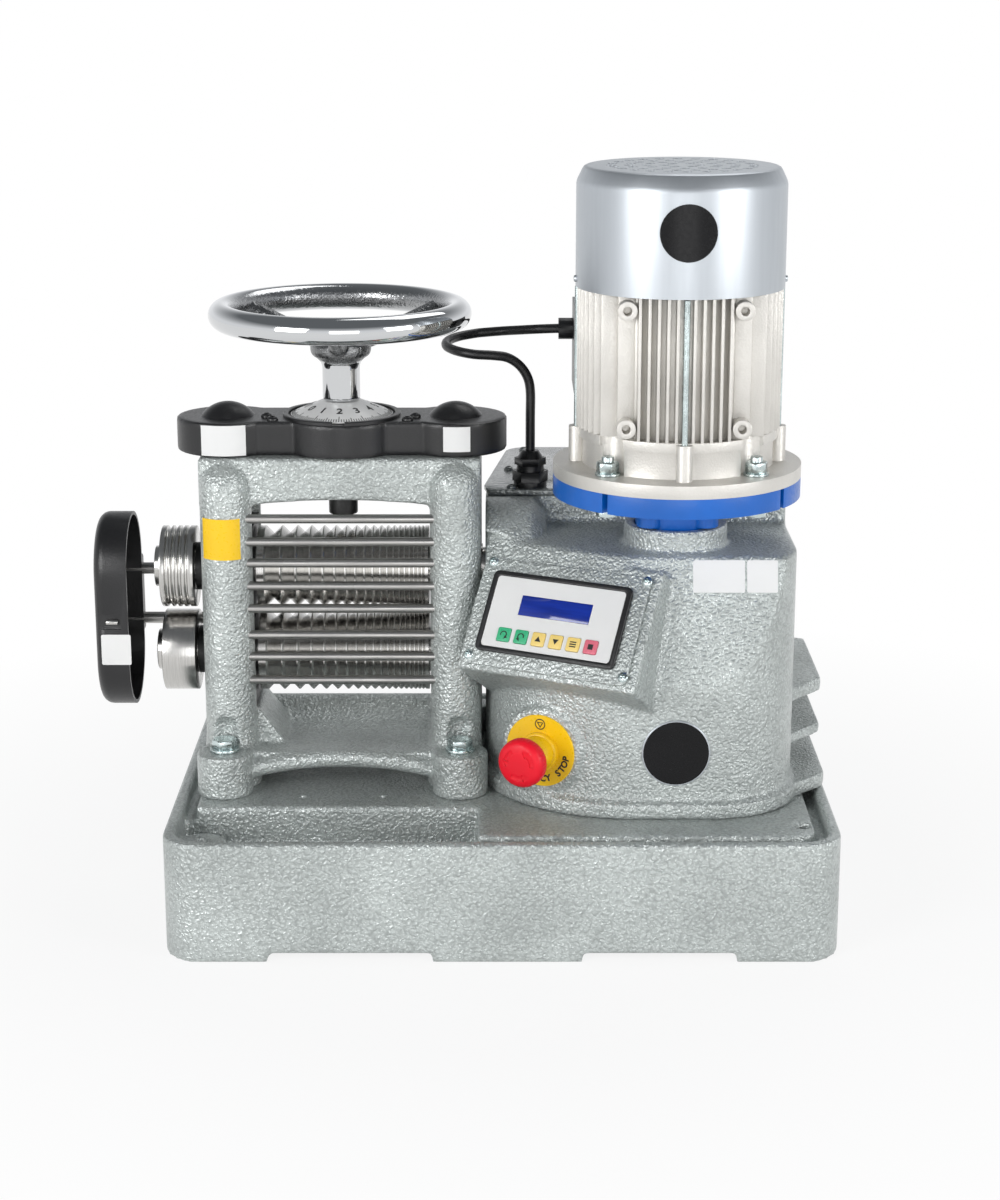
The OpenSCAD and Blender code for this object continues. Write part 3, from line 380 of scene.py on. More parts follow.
def add_path(points, radius, rounding):
    """A curve through the points, as thick as a bar."""
    deselect()
    bpy.ops.curve.primitive_nurbs_path_add()
    path = bpy.context.active_object
    path.data.splines.clear()
    line = path.data.splines.new("POLY")
    line.points.add(len(points) - 1)
    for point, place in zip(line.points, points):
        point.co = (*(Vector(place) * MM), 1)
    path.data.dimensions = "3D"
    path.data.bevel_depth = radius * MM
    path.data.bevel_resolution = rounding
    path.data.use_fill_caps = True
    return path


def add_tube(points, radius, sides=12):
    """A round bar along a smooth path, made a mesh."""
    add_path(points, radius, sides // 4)
    bpy.ops.object.convert(target="MESH")
    return settled(bpy.context.active_object)


def add_words(text, size, depth, bold=0.0):
    """Flat lettering about the origin, made a mesh."""
    deselect()
    bpy.ops.object.text_add(align="WORLD")
    words = bpy.context.active_object
    words.data.body = text
    words.data.size = size * MM
    words.data.extrude = depth / 2 * MM
    words.data.offset = bold * MM
    words.data.align_x = "CENTER"
    words.data.align_y = "CENTER"
    bpy.ops.object.convert(target="MESH")
    return settled(bpy.context.active_object)


def add_wrap(centre, radius, middle, width, low, high, lift=0.35):
    """A thin plate bent round an upright cylinder, its middle at an angle in degrees."""
    deselect()
    bpy.ops.mesh.primitive_grid_add(x_subdivisions=16, y_subdivisions=4, size=1)
    piece = bpy.context.active_object
    for vertex in piece.data.vertices:
        turn = math.radians(middle) + vertex.co.x * width / radius
        height = low + (vertex.co.y + 0.5) * (high - low)
        vertex.co = (
            (centre[0] + (radius + 0.1) * math.cos(turn)) * MM,
            (centre[1] + (radius + 0.1) * math.sin(turn)) * MM,
            height * MM,
        )
    apply(piece, "SOLIDIFY", thickness=lift * MM, offset=1)
    return piece


def hex_head(across, height, chamfer=0.08):
    """A hexagon head standing on Z 0, its top corners turned off."""
    radius = across / math.sqrt(3)
    head = add_rod((0, 0, 0), (0, 0, height), radius, sides=6)
    cone = add_turned(
        [
            (0, -1),
            (radius + 2, -1),
            (radius + 2, height - 0.2 * radius * (1 - chamfer)),
            (across / 2 * 0.94, height),
            (0, height),
        ],
        48,
    )
    return eased(kept_inside(head, cone), 0.25, 1, 25)


def cap_screw(radius, height):
    """A low domed screw head with a socket, on Z 0."""
    dome = [(0, 0), (radius, 0), (radius, height * 0.25)]
    dome += arc(radius * 0.35, height * 0.25, radius * 0.65, 0, 80, 5)
    top = max(point[1] for point in dome)
    dome = [(r, min(h * height / top, height)) for r, h in dome]
    head = add_turned(dome + [(0, height)], 24)
    socket = add_rod((0, 0, height * 0.4), (0, 0, height * 2), radius * 0.5, sides=6)
    return carved(head, socket)


def cross_screw(radius, height):
    """A low domed screw head with a cross recess, on Z 0."""
    dome = [(0, 0), (radius, 0), (radius, height * 0.3), (radius * 0.8, height * 0.72)]
    head = add_turned(dome + [(radius * 0.45, height * 0.95), (0, height)], 32)
    arm, half = radius * 0.55, radius * 0.11
    cross = joined(
        add_box((-arm, -half, height * 0.35), (arm, half, height * 2)),
        add_box((-half, -arm, height * 0.35), (half, arm, height * 2)),
    )
    return carved(head, cross)


def smooth_path(points, steps):
    """Points along one smooth curve that passes through every given point."""
    last = len(points) - 1
    path = []
    for index in range(last):
        before, start = points[max(index - 1, 0)], points[index]
        end, after = points[index + 1], points[min(index + 2, last)]
        for step in range(steps):
            t = step / steps
            path.append(
                0.5
                * (
                    2 * start
                    + (end - before) * t
                    + (2 * before - 5 * start + 4 * end - after) * t**2
                    + (3 * start - before - 3 * end + after) * t**3
                )
            )
    return path + [points[last]]


def finished(piece, name, body, stands_for, smooth=38):
    """Names a piece that already has its finishes, and lets it ride on its body."""
    piece.name = name
    piece.data.name = name
    only(piece)
    bpy.ops.object.shade_smooth_by_angle(angle=math.radians(smooth))
    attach(piece, body)
    if stands_for:
        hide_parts(*stands_for)
    return piece


def done(piece, name, body, finish, stands_for=(), smooth=38):
    """Names a piece, gives it its finish and lets it ride on its body."""
    piece.data.materials.clear()
    piece.data.materials.append(finish)
    return finished(piece, name, body, stands_for, smooth)


def marked(piece, mark, finish):
    """Joins a small mark onto a piece with a finish of its own."""
    piece.data.materials.append(finish)
    place = len(piece.data.materials) - 1
    mark.data.materials.clear()
    for used in piece.data.materials:
        mark.data.materials.append(used)
    for face in mark.data.polygons:
        face.material_index = place
    return joined(piece, mark)


# node groups that several finishes share


def add_socket(tree, way, kind, name, value=None):
    made = tree.interface.new_socket(name=name, in_out=way, socket_type=f"NodeSocket{kind}")
    if value is not None:
        made.default_value = value


def add_node(tree, kind, operation=None, **values):
    """A shader node with its operation and the plain values of its inputs."""
    node = tree.nodes.new(f"ShaderNode{kind}")
    if operation:
        node.operation = operation
    for name, value in values.items():
        node.inputs[name.replace("_", " ")].default_value = value
    return node


def link(tree, source, out, target, into):
    tree.links.new(source.outputs[out], target.inputs[into])


def finish_group(name):
    """A node group with the inputs and outputs that every surface group here has."""
    tree = bpy.data.node_groups.new(name, "ShaderNodeTree")
    add_socket(tree, "INPUT", "Vector", "Stretch", (1, 1, 1))
    for name in ("Light", "Dark"):
        add_socket(tree, "INPUT", "Color", name, (0.5, 0.5, 0.5, 1))
    for name, value in (("Scale", 300), ("Depth", 0.3), ("Smooth", 0.3), ("Rough", 0.5)):
        add_socket(tree, "INPUT", "Float", name, value)
    for name, kind in (("Color", "Color"), ("Roughness", "Float"), ("Normal", "Vector")):
        add_socket(tree, "OUTPUT", kind, name)
    inside = tree.nodes.new("NodeGroupInput")
    outside = tree.nodes.new("NodeGroupOutput")
    place = add_node(tree, "TexCoord")
    stretch = add_node(tree, "VectorMath", "MULTIPLY")
    link(tree, place, "Object", stretch, 0)
    link(tree, inside, "Stretch", stretch, 1)
    return tree, inside, outside, stretch


def add_noise(tree, stretch, scale, detail, distortion=0.0):
    noise = add_node(tree, "TexNoise", Scale=scale, Detail=detail, Distortion=distortion)
    link(tree, stretch, "Vector", noise, "Vector")
    return noise


def add_range(tree, source, out, low, high):
    spread = add_node(tree, "MapRange", From_Min=low, From_Max=high)
    link(tree, source, out, spread, "Value")
    return spread


def add_bump(tree, inside, height, out, reach):
    bump = add_node(tree, "Bump", Distance=reach * MM)
    link(tree, inside, "Depth", bump, "Strength")
    link(tree, height, out, bump, "Height")
    return bump


def colour_and_rough(tree, inside, outside, shade, gloss):
    mix = add_node(tree, "Mix")
    mix.data_type = "RGBA"
    link(tree, shade, "Result", mix, "Factor")
    link(tree, inside, "Light", mix, 6)
    link(tree, inside, "Dark", mix, 7)
    link(tree, mix, 2, outside, "Color")
    link(tree, inside, "Smooth", gloss, "To Min")
    link(tree, inside, "Rough", gloss, "To Max")
    link(tree, gloss, "Result", outside, "Roughness")


def hammered_group():
    """Pooled, dimpled paint: round cells with soft valleys, colour darkened with the cells' height as
    painted shade of the dimples, and slow random tone changes.
    """
    tree, inside, outside, stretch = finish_group("HammeredPaint")
    cells = add_node(tree, "TexVoronoi")
    cells.feature = "SMOOTH_F1"
    cells.inputs["Smoothness"].default_value = 0.7
    warp = add_noise(tree, stretch, 260, 2)
    shift = add_node(tree, "VectorMath", "MULTIPLY_ADD")
    shift.inputs[1].default_value = (0.004, 0.004, 0.004)
    link(tree, warp, "Color", shift, 0)
    link(tree, stretch, "Vector", shift, 2)
    link(tree, shift, "Vector", cells, "Vector")
    link(tree, inside, "Scale", cells, "Scale")
    bump = add_bump(tree, inside, cells, "Distance", 1.6)
    link(tree, bump, "Normal", outside, "Normal")
    slow = add_noise(tree, stretch, 16, 4)
    # The colour follows the cells' height. This is painted shade that stands in for the light and shade of
    # the dimples; the slow noise adds random tone.
    both = add_node(tree, "Math", "MULTIPLY_ADD")
    both.inputs[1].default_value = 1.1
    link(tree, cells, "Distance", both, 0)
    link(tree, slow, "Fac", both, 2)
    shade = add_range(tree, both, "Value", 0.6, 1.35)
    gloss = add_range(tree, slow, "Fac", 0.3, 0.7)
    colour_and_rough(tree, inside, outside, shade, gloss)
    return tree


def brushed_group():
    """Fine lines left by turning, drawing or grinding, run out along Stretch."""
    tree, inside, outside, stretch = finish_group("BrushedMetal")
    lines = add_noise(tree, stretch, 1, 5)
    link(tree, inside, "Scale", lines, "Scale")
    bump = add_bump(tree, inside, lines, "Fac", 0.25)
    link(tree, bump, "Normal", outside, "Normal")
    shade = add_range(tree, lines, "Fac", 0.35, 0.65)
    gloss = add_range(tree, lines, "Fac", 0.3, 0.7)
    colour_and_rough(tree, inside, outside, shade, gloss)
    return tree


def grain_group():
    """A fine moulded or sand-cast skin with faint mottling."""
    tree, inside, outside, stretch = finish_group("FineGrain")
    grain = add_noise(tree, stretch, 1, 3, 0.2)
    link(tree, inside, "Scale", grain, "Scale")
    bump = add_bump(tree, inside, grain, "Fac", 0.5)
    link(tree, bump, "Normal", outside, "Normal")
    slow = add_noise(tree, stretch, 24, 5)
    shade = add_range(tree, slow, "Fac", 0.35, 0.68)
    gloss = add_range(tree, grain, "Fac", 0.35, 0.65)
    colour_and_rough(tree, inside, outside, shade, gloss)
    return tree


# finishes


def shaded(colour, share):
    """A colour brought up or down in brightness."""
    return tuple(min(1.0, part * share) for part in colour[:3]) + (1.0,)


def new_finish(name, **sockets):
    """A material whose plain values sit on the shader's own sockets."""
    finish = bpy.data.materials.new(name)
    finish.use_nodes = True
    shader = finish.node_tree.nodes["Principled BSDF"]
    for key, value in sockets.items():
        shader.inputs[key.replace("_", " ")].default_value = value
    return finish, finish.node_tree, shader


def add_surface(tree, group, **values):
    """A surface group in a material, with its own values."""
    surface = add_node(tree, "Group")
    surface.node_tree = group
    for name, value in values.items():
        surface.inputs[name].default_value = value
    return surface


def surfaced(
    name, group, colour, depth, scale, smooth, rough, spread=0.85, stretch=(1, 1, 1), **sockets
):
    """A finish whose colour, roughness and normal come from one surface group."""
    finish, tree, shader = new_finish(name, **sockets)
    surface = add_surface(
        tree, group, Stretch=stretch, Scale=scale, Depth=depth, Smooth=smooth, Rough=rough,
        Light=shaded(colour, 1), Dark=shaded(colour, spread),
    )
    link(tree, surface, "Color", shader, "Base Color")
    link(tree, surface, "Roughness", shader, "Roughness")
    link(tree, surface, "Normal", shader, "Normal")
    return finish


def chrome_finish(name, grain, colour):
    """Polished plating that turns to a dull cast skin on the inner side of the rim."""
    finish, tree, shader = new_finish(name, Metallic=1.0)
    place = add_node(tree, "TexCoord")
    axis = (-STAND_X * MM, -ROLL_Y * MM, -WHEEL.high.z * MM)
    centre = add_node(tree, "Mapping", Location=axis)
    flat = add_node(tree, "VectorMath", "MULTIPLY")
    flat.inputs[1].default_value = (1, 1, 0)
    reach = add_node(tree, "VectorMath", "LENGTH")
    inner = add_range(tree, reach, "Value", 92 * MM, 84 * MM)
    hub = add_range(tree, reach, "Value", 17 * MM, 19 * MM)
    both = add_node(tree, "Math", "MULTIPLY")
    link(tree, place, "Object", centre, "Vector")
    link(tree, centre, "Vector", flat, 0)
    link(tree, flat, "Vector", reach, 0)
    link(tree, inner, "Result", both, 0)
    link(tree, hub, "Result", both, 1)
    skin = add_surface(
        tree, grain, Scale=420, Depth=0.9, Smooth=0.22, Rough=0.42,
        Light=shaded(colour, 0.5), Dark=shaded(colour, 0.28),
    )
    shade = add_node(tree, "Mix")
    shade.data_type = "RGBA"
    shade.inputs[6].default_value = shaded(colour, 1)
    gloss = add_node(tree, "Mix")
    gloss.inputs[2].default_value = 0.05
    bumps = add_node(tree, "TexNoise", Scale=380)
    height = add_node(tree, "Math", "MULTIPLY")
    relief = add_node(tree, "Bump", Distance=1.2 * MM, Strength=0.7)
    link(tree, place, "Object", bumps, "Vector")
    link(tree, both, "Value", shade, "Factor")
    link(tree, skin, "Color", shade, 7)
    link(tree, both, "Value", gloss, 0)
    link(tree, skin, "Roughness", gloss, 3)
    link(tree, bumps, "Fac", height, 0)
    link(tree, both, "Value", height, 1)
    link(tree, height, "Value", relief, "Height")
    link(tree, shade, 2, shader, "Base Color")
    link(tree, gloss, 0, shader, "Roughness")
    link(tree, relief, "Normal", shader, "Normal")
    return finish


FINISH = {}


def make_finishes(colours):
    """Every finish of the mill, by name."""
    hammer, brush, grain = hammered_group(), brushed_group(), grain_group()
    cast_grey = colours.cast_grey
    # the spread of a hammered finish sets how dark its painted dimple shade goes
    FINISH["hammered"] = surfaced(
        "HammeredGrey", hammer, cast_grey, 0.8, 430, 0.28, 0.44, 0.64,
        Metallic=0.45, Coat_Weight=0.12, Coat_Roughness=0.3,
    )
    # The lid is the casting grey darkened to 0.42. This is painted shade that stands in for the dark look
    # of a top face under front light.
    FINISH["slate"] = surfaced(
        "LidGreyPaintedShade", hammer, shaded(cast_grey, 0.42), 0.4, 380, 0.16, 0.3, 0.8,
        Metallic=0.4, Coat_Weight=0.4, Coat_Roughness=0.12,
    )
    FINISH["moulding"] = surfaced(
        "BlackMoulding", grain, colours.black, 0.25, 900, 0.28, 0.40, 0.7, Specular_IOR_Level=0.5,
    )
    FINISH["chrome"] = chrome_finish("ChromePlate", grain, colours.chrome)
    FINISH["turned"] = surfaced(
        "TurnedSteel", brush, colours.steel, 0.1, 1, 0.17, 0.26, 0.86, (2600, 60, 60), Metallic=1.0,
    )
    FINISH["drawn"] = surfaced(
        "DrawnBar", brush, shaded(colours.steel, 0.8), 0.3, 1, 0.22, 0.40, 0.76,
        (25, 900, 900), Metallic=1.0,
    )
    FINISH["blackened"] = surfaced(
        "BlackenedSteel", grain, (0.07, 0.07, 0.07), 0.3, 500, 0.35, 0.55, 0.6, Metallic=0.9,
    )
    FINISH["zinc"] = surfaced(
        "ZincPlate", grain, (0.66, 0.75, 0.75), 0.15, 240, 0.16, 0.32, 0.66, Metallic=1.0,
    )
    FINISH["bronze"] = surfaced(
        "MachinedBronze", brush, (0.58, 0.40, 0.17), 0.3, 1, 0.25, 0.42, 0.8, (900, 60, 60), Metallic=1.0,
    )
    FINISH["blue"] = surfaced(
        "BlueEnamel", grain, colours.blue, 0.2, 300, 0.28, 0.4, 0.82, Coat_Weight=0.12,
    )
    FINISH["alloy"] = surfaced(
        "DieCastAlloy", grain, colours.alloy, 0.45, 650, 0.32, 0.5, 0.88, Metallic=0.55,
    )
    FINISH["sheet"] = surfaced(
        "SilverSheet", brush, colours.sheet, 0.03, 1, 0.36, 0.42, 0.97, (200, 200, 14), Metallic=0.85,
    )
    FINISH["white"] = surfaced(
        "WhiteFilm", grain, (0.74, 0.74, 0.73), 0.08, 700, 0.28, 0.4, 0.96, Coat_Weight=0.2,
    )
    FINISH["display"] = surfaced(
        "DisplayGlass", brush, colours.display, 0.0, 1, 0.06, 0.12, 0.62, (20, 20, 240), Coat_Weight=0.6,
    )
    FINISH["red"] = surfaced(
        "RedCap", grain, colours.red, 0.2, 420, 0.34, 0.46, 0.9, Specular_IOR_Level=0.3,
    )
    FINISH["yellow"] = surfaced("YellowDisc", grain, colours.yellow, 0.1, 420, 0.26, 0.38, 0.92)
    FINISH["green_key"] = surfaced("GreenKey", grain, (0.05, 0.46, 0.22), 0.1, 600, 0.25, 0.36, 0.9)
    FINISH["amber_key"] = surfaced("AmberKey", grain, (0.86, 0.64, 0.20), 0.1, 600, 0.25, 0.36, 0.92)
    FINISH["red_key"] = surfaced("RedKey", grain, (0.72, 0.16, 0.22), 0.1, 600, 0.25, 0.36, 0.9)
    FINISH["ink"] = surfaced("BlackPrint", grain, (0.015, 0.015, 0.015), 0.05, 600, 0.4, 0.5, 0.8)
    FINISH["roundel"] = surfaced(
        "BlackRoundel", grain, (0.006, 0.006, 0.007), 0.05, 300, 0.2, 0.3, 0.7, Specular_IOR_Level=0.2,
    )
    FINISH["sheath"] = surfaced(
        "CableSheath", grain, (0.014, 0.014, 0.015), 0.2, 500, 0.3, 0.42, 0.7,
    )


# the CAD solids that keep their own shape, with the finish that each one shows
PLAIN_NODES = {
    "guard_bars": "drawn",
    "lower_bearing_blocks": "blackened",
    "upper_bearing_blocks": "blackened",
    "crown_bushes": "bronze",
    "inverter_drive": "moulding",
    "stator_core": "blackened",
    "motor_bearings": "turned",
    "guard_rods": "drawn",
    "lift_springs": "drawn",
    "spindle": "turned",
    "left_idler_gear": "turned",
    "right_idler_gear": "turned",
    "left_screw": "turned",
    "right_screw": "turned",
    "upper_roll": "turned",
    "lower_roll": "turned",
    "upper_roll_gear": "blackened",
    "lower_roll_gear": "blackened",
    "worm_wheel": "bronze",
    "motor_rotor": "turned",
    "cooling_fan": "moulding",
    "estop_stem": "blackened",
    "tie_rods": "zinc",
}


# sizes and colours that a user may change


def length(label, about, value):
    return bpy.props.FloatProperty(name=label, description=about, default=value, min=0.01)


def tint(label, about, value):
    return bpy.props.FloatVectorProperty(
        name=label, description=about, default=value, size=3, min=0, max=1, subtype="COLOR"
    )


class MillSizes(bpy.types.PropertyGroup):
    """Sizes of the looks, in millimetres"""

    rim_width: length("Rim Width", "Width of the rim round the base, mm", 10.0)
    tray_depth: length("Tray Depth", "Depth of the tray in the base, mm", 33.0)
    casting_grain: length("Casting Grain", "Size of the grid that castings are made on, mm", 2.2)
    rib_radius: length("Rib Radius", "Radius of the arched rib in front of the stand, mm", 7.4)
    spoke_radius: length("Spoke Radius", "Radius of a handwheel spoke, mm", 7.5)
    fin_pitch: length("Fin Pitch", "Distance from one motor fin to the next, mm", 7.2)
    fin_thickness: length("Fin Thickness", "Thickness of a motor fin, mm", 2.4)
    print_depth: length("Print Depth", "How far printed marks stand proud, mm", 0.12)
    plate_depth: length("Plate Depth", "Thickness of the blank plates, mm", 0.4)


class MillColours(bpy.types.PropertyGroup):
    """Colours of the main finishes"""

    cast_grey: tint("Casting Grey", "Hammered paint of the castings", (0.56, 0.60, 0.585))
    black: tint("Black", "Black mouldings", (0.012, 0.012, 0.013))
    chrome: tint("Chrome", "Plating of the handwheel", (0.62, 0.63, 0.64))
    steel: tint("Steel", "Ground and turned steel", (0.60, 0.59, 0.57))
    blue: tint("Blue", "Gearbox enamel", (0.0, 0.12, 0.52))
    alloy: tint("Alloy", "Die-cast motor body", (0.68, 0.66, 0.62))
    sheet: tint("Sheet", "Painted fan cover", (0.49, 0.52, 0.55))
    display: tint("Display", "Lit display window", (0.004, 0.03, 0.34))
    red: tint("Red", "Stop button cap", (0.80, 0.006, 0.022))
    yellow: tint("Yellow", "Stop button disc", (0.90, 0.56, 0.005))


# castings


class MILL_OT_base(bpy.types.Operator):
    """Cast base with its rim, moat, tray, feet and bench bolt bosses"""

    bl_idname = "mill.base"
    bl_label = "Cast Base"

    def execute(self, context):
        sizes = context.scene.mill_sizes
        half_x, half_y, corner = BASE.high.x, BASE.high.y, 32
        rim = sizes.rim_width
        floor = DECK - sizes.tray_depth
        tray_right, tray_rear = -19.5, -114
        body = add_plan(rounded(half_x, half_y, corner), 0, DECK)
        moat = add_plan(rounded(half_x - rim, half_y - rim, corner - rim), DECK - 12, DECK + 5)
        island = rounded(half_x - 2 * rim, half_y - 2 * rim, corner - 2 * rim + 4)
        carved(moat, add_plan(island, DECK - 20, DECK + 10))
        inner_x, inner_y = half_x - rim, half_y - rim
        tray = [(tray_right, -inner_y), (tray_right, tray_rear), (-inner_x, tray_rear)]
        tray += arc(corner - half_x, corner - half_y, corner - rim, 180, 270, 8)
        cuts = [moat, add_plan(tray, floor, DECK + 5)]
        cuts.append(add_box((corner - half_x, -inner_y, floor), (half_x - corner, rim - inner_y, DECK + 5)))
        wall = 16
        roof, tray_roof, shelf = DECK - 14, floor - 8, 12
        deep_x, deep_y = half_x - wall, half_y - wall
        cuts.append(add_box((-deep_x, tray_rear + 8, shelf), (deep_x, deep_y, roof)))
        cuts.append(add_box((tray_right + 8, -deep_y, shelf), (deep_x, tray_rear + 12, roof)))
        cuts.append(add_box((-deep_x, -deep_y, shelf), (tray_right + 12, tray_rear + 12, tray_roof)))
        for left, right in ((-186, -55), (64, 187)):
            cuts.append(add_box((left, -deep_y, -5), (right, deep_y, shelf + 2)))
            cuts.append(add_box((left, -half_y - 5, -5), (right, half_y + 5, 7)))
        carved(body, *cuts)
        corners = [(x * (half_x - 29), y * (half_y - 45)) for x in (-1, 1) for y in (-1, 1)]
        bosses = [add_rod((x, y, 0), (x, y, DECK - 14), 20) for x, y in corners]
        joined(body, *bosses)
        holes = [add_rod((x, y, -5), (x, y, DECK + 5), 6.5) for x, y in corners]
        for side in (-33, 33):
            holes.append(add_rod((STAND_X + side, -88, DECK - 12), (STAND_X + side, -88, DECK + 5), 2.8))
        carved(body, *holes)
        cast(body, sizes.casting_grain, 5, 0.35)
        done(body, "base", "frame", FINISH["hammered"], ["base_casting"])
        return {"FINISHED"}


class MILL_OT_stand(bpy.types.Operator):
    """Roll stand: four pillars, windowed cheeks, crown, saddle and arched rib"""

    bl_idname = "mill.stand"
    bl_label = "Roll Stand"

    def execute(self, context):
        sizes = context.scene.mill_sizes
        dome = DECK + 254
        parts = []
        feet = []
        for side in (-1, 1):
            x = STAND_X + side * CHEEK
            low = (x - PILLAR_R, ROLL_Y - PILLAR_DY, DECK)
            high = (x + PILLAR_R, ROLL_Y + PILLAR_DY, CROWN_TOP)
            parts.append(add_box(low, high))
            for back in (-1, 1):
                y = ROLL_Y + back * PILLAR_DY
                parts.append(add_rod((x, y, DECK), (x, y, dome), PILLAR_R))
                parts.append(add_ball((x, y, dome), PILLAR_R))
                at = (STAND_X + side * FOOT_DX, ROLL_Y + back * FOOT_DY)
                feet.append(at)
                parts.append(add_rod((*at, DECK), (*at, FOOT_TOP), FOOT_R))
                parts.append(add_rod((x, y, DECK), (x, y, FOOT_TOP + 8), PILLAR_R + 3.5, PILLAR_R))
        span, reach = CHEEK - PILLAR_R, CHEEK + PILLAR_R
        under = [(STAND_X + span * t / 8, CROWN_LOW + 4 - 4 * (t / 8) ** 2) for t in range(-8, 9)]
        ends = [(STAND_X + reach, CROWN_LOW), (STAND_X + reach, CROWN_TOP)]
        ends += [(STAND_X - reach, CROWN_TOP), (STAND_X - reach, CROWN_LOW)]
        parts.append(add_side(under + ends, ROLL_Y - 45, ROLL_Y + 45))
        saddle = [(-72, DECK + 22), (-72, DECK + 34), (-50, DECK + 33), (-20, DECK + 32)]
        saddle += [(10, DECK + 34), (26, DECK + 39), (33, DECK + 47), (42, DECK + 49), (42, DECK + 6)]
        saddle += [(32, DECK + 6), (26, DECK + 22)]
        parts.append(add_profile(saddle, STAND_X - CHEEK, STAND_X + CHEEK))
        rib = []
        for step in range(-12, 13):
            t = step / 12
            rib.append((STAND_X + (CHEEK - 8) * t, -73.5, DECK + 28.5 - 12.5 * t * t))
        parts.append(add_tube(rib, sizes.rib_radius, 16))
        inner = STAND_X - span
        web = [(inner - 4, DECK + 20), (inner + 26, DECK + 30), (inner - 4, DECK + 70)]
        parts.append(add_side(web, ROLL_Y - 36, ROLL_Y + 34))
        stand = joined(*parts)
        cuts = []
        for side in (-1, 1):
            x = STAND_X + side * CHEEK
            cuts.append(add_box((x - 30, ROLL_Y - 35, DECK + 62), (x + 30, ROLL_Y + 35, CROWN_LOW)))
            cuts.append(add_rod((x, ROLL_Y, CROWN_LOW - 5), (x, ROLL_Y, CROWN_TOP + 5), 18.6))
            idler = STAND_X + side * 38
            cuts.append(add_rod((idler, ROLL_Y, CROWN_TOP - 26), (idler, ROLL_Y, CROWN_TOP + 5), 6.6))
        cuts.append(add_rod((STAND_X, ROLL_Y, CROWN_LOW - 5), (STAND_X, ROLL_Y, CROWN_TOP + 5), 13.6))
        for at in feet:
            cuts.append(add_rod((*at, FOOT_TOP), (*at, FOOT_TOP + 16), POCKET_R))
            cuts.append(add_ball((*at, FOOT_TOP + 16), POCKET_R))
        carved(stand, *cuts)
        cast(stand, sizes.casting_grain - 0.3, 5, 0.6)
        done(stand, "stand", "frame", FINISH["hammered"], ["roll_stand"])
        return {"FINISHED"}


def house_plan(inset):
    """Outline of the gear housing, drawn in from its outer face."""
    nose = 69.5
    return (
        arc(HOUSE_ARC_X, HOUSE_ARC_Y, HOUSE_ARC_X - HOUSE_LEFT - inset, 180, 270, 20)
        + arc(HOUSE_RIGHT - nose, HOUSE_FRONT + nose, nose - inset, 270, 360, 14)
        + house_rear(inset)
    )


def house_rear(inset):
    """The rear of that outline, from the right side to the left, which the lid shares."""
    side, corner = HOUSE_SIDE_R, HOUSE_CORNER_R
    return (
        arc(HOUSE_RIGHT - side, HOUSE_REAR - side, side - inset, 0, 90, 14)
        + arc(24, HOUSE_REAR - corner, corner - inset, 90, 180, 5)
        + [(HOUSE_LEFT + inset, 30)]
    )


def house_body(inset, bottom):
    """The housing's main form: sloping front, lower deck and the box behind it."""
    body = add_plan(house_plan(inset), bottom, LID.low.z - inset)
    slope = add_box((-60, -200, 0), (340, 0, 260))
    lean = place_at(0, HOUSE_FRONT + inset * 1.05, DECK + 110)
    placed(slope, lean @ turned_by(HOUSE_SLOPE, "X"))
    step = add_box((-80, -260, DECK + 210 - inset), (340, 10 + inset, DECK + 300))
    return carved(body, slope, step)


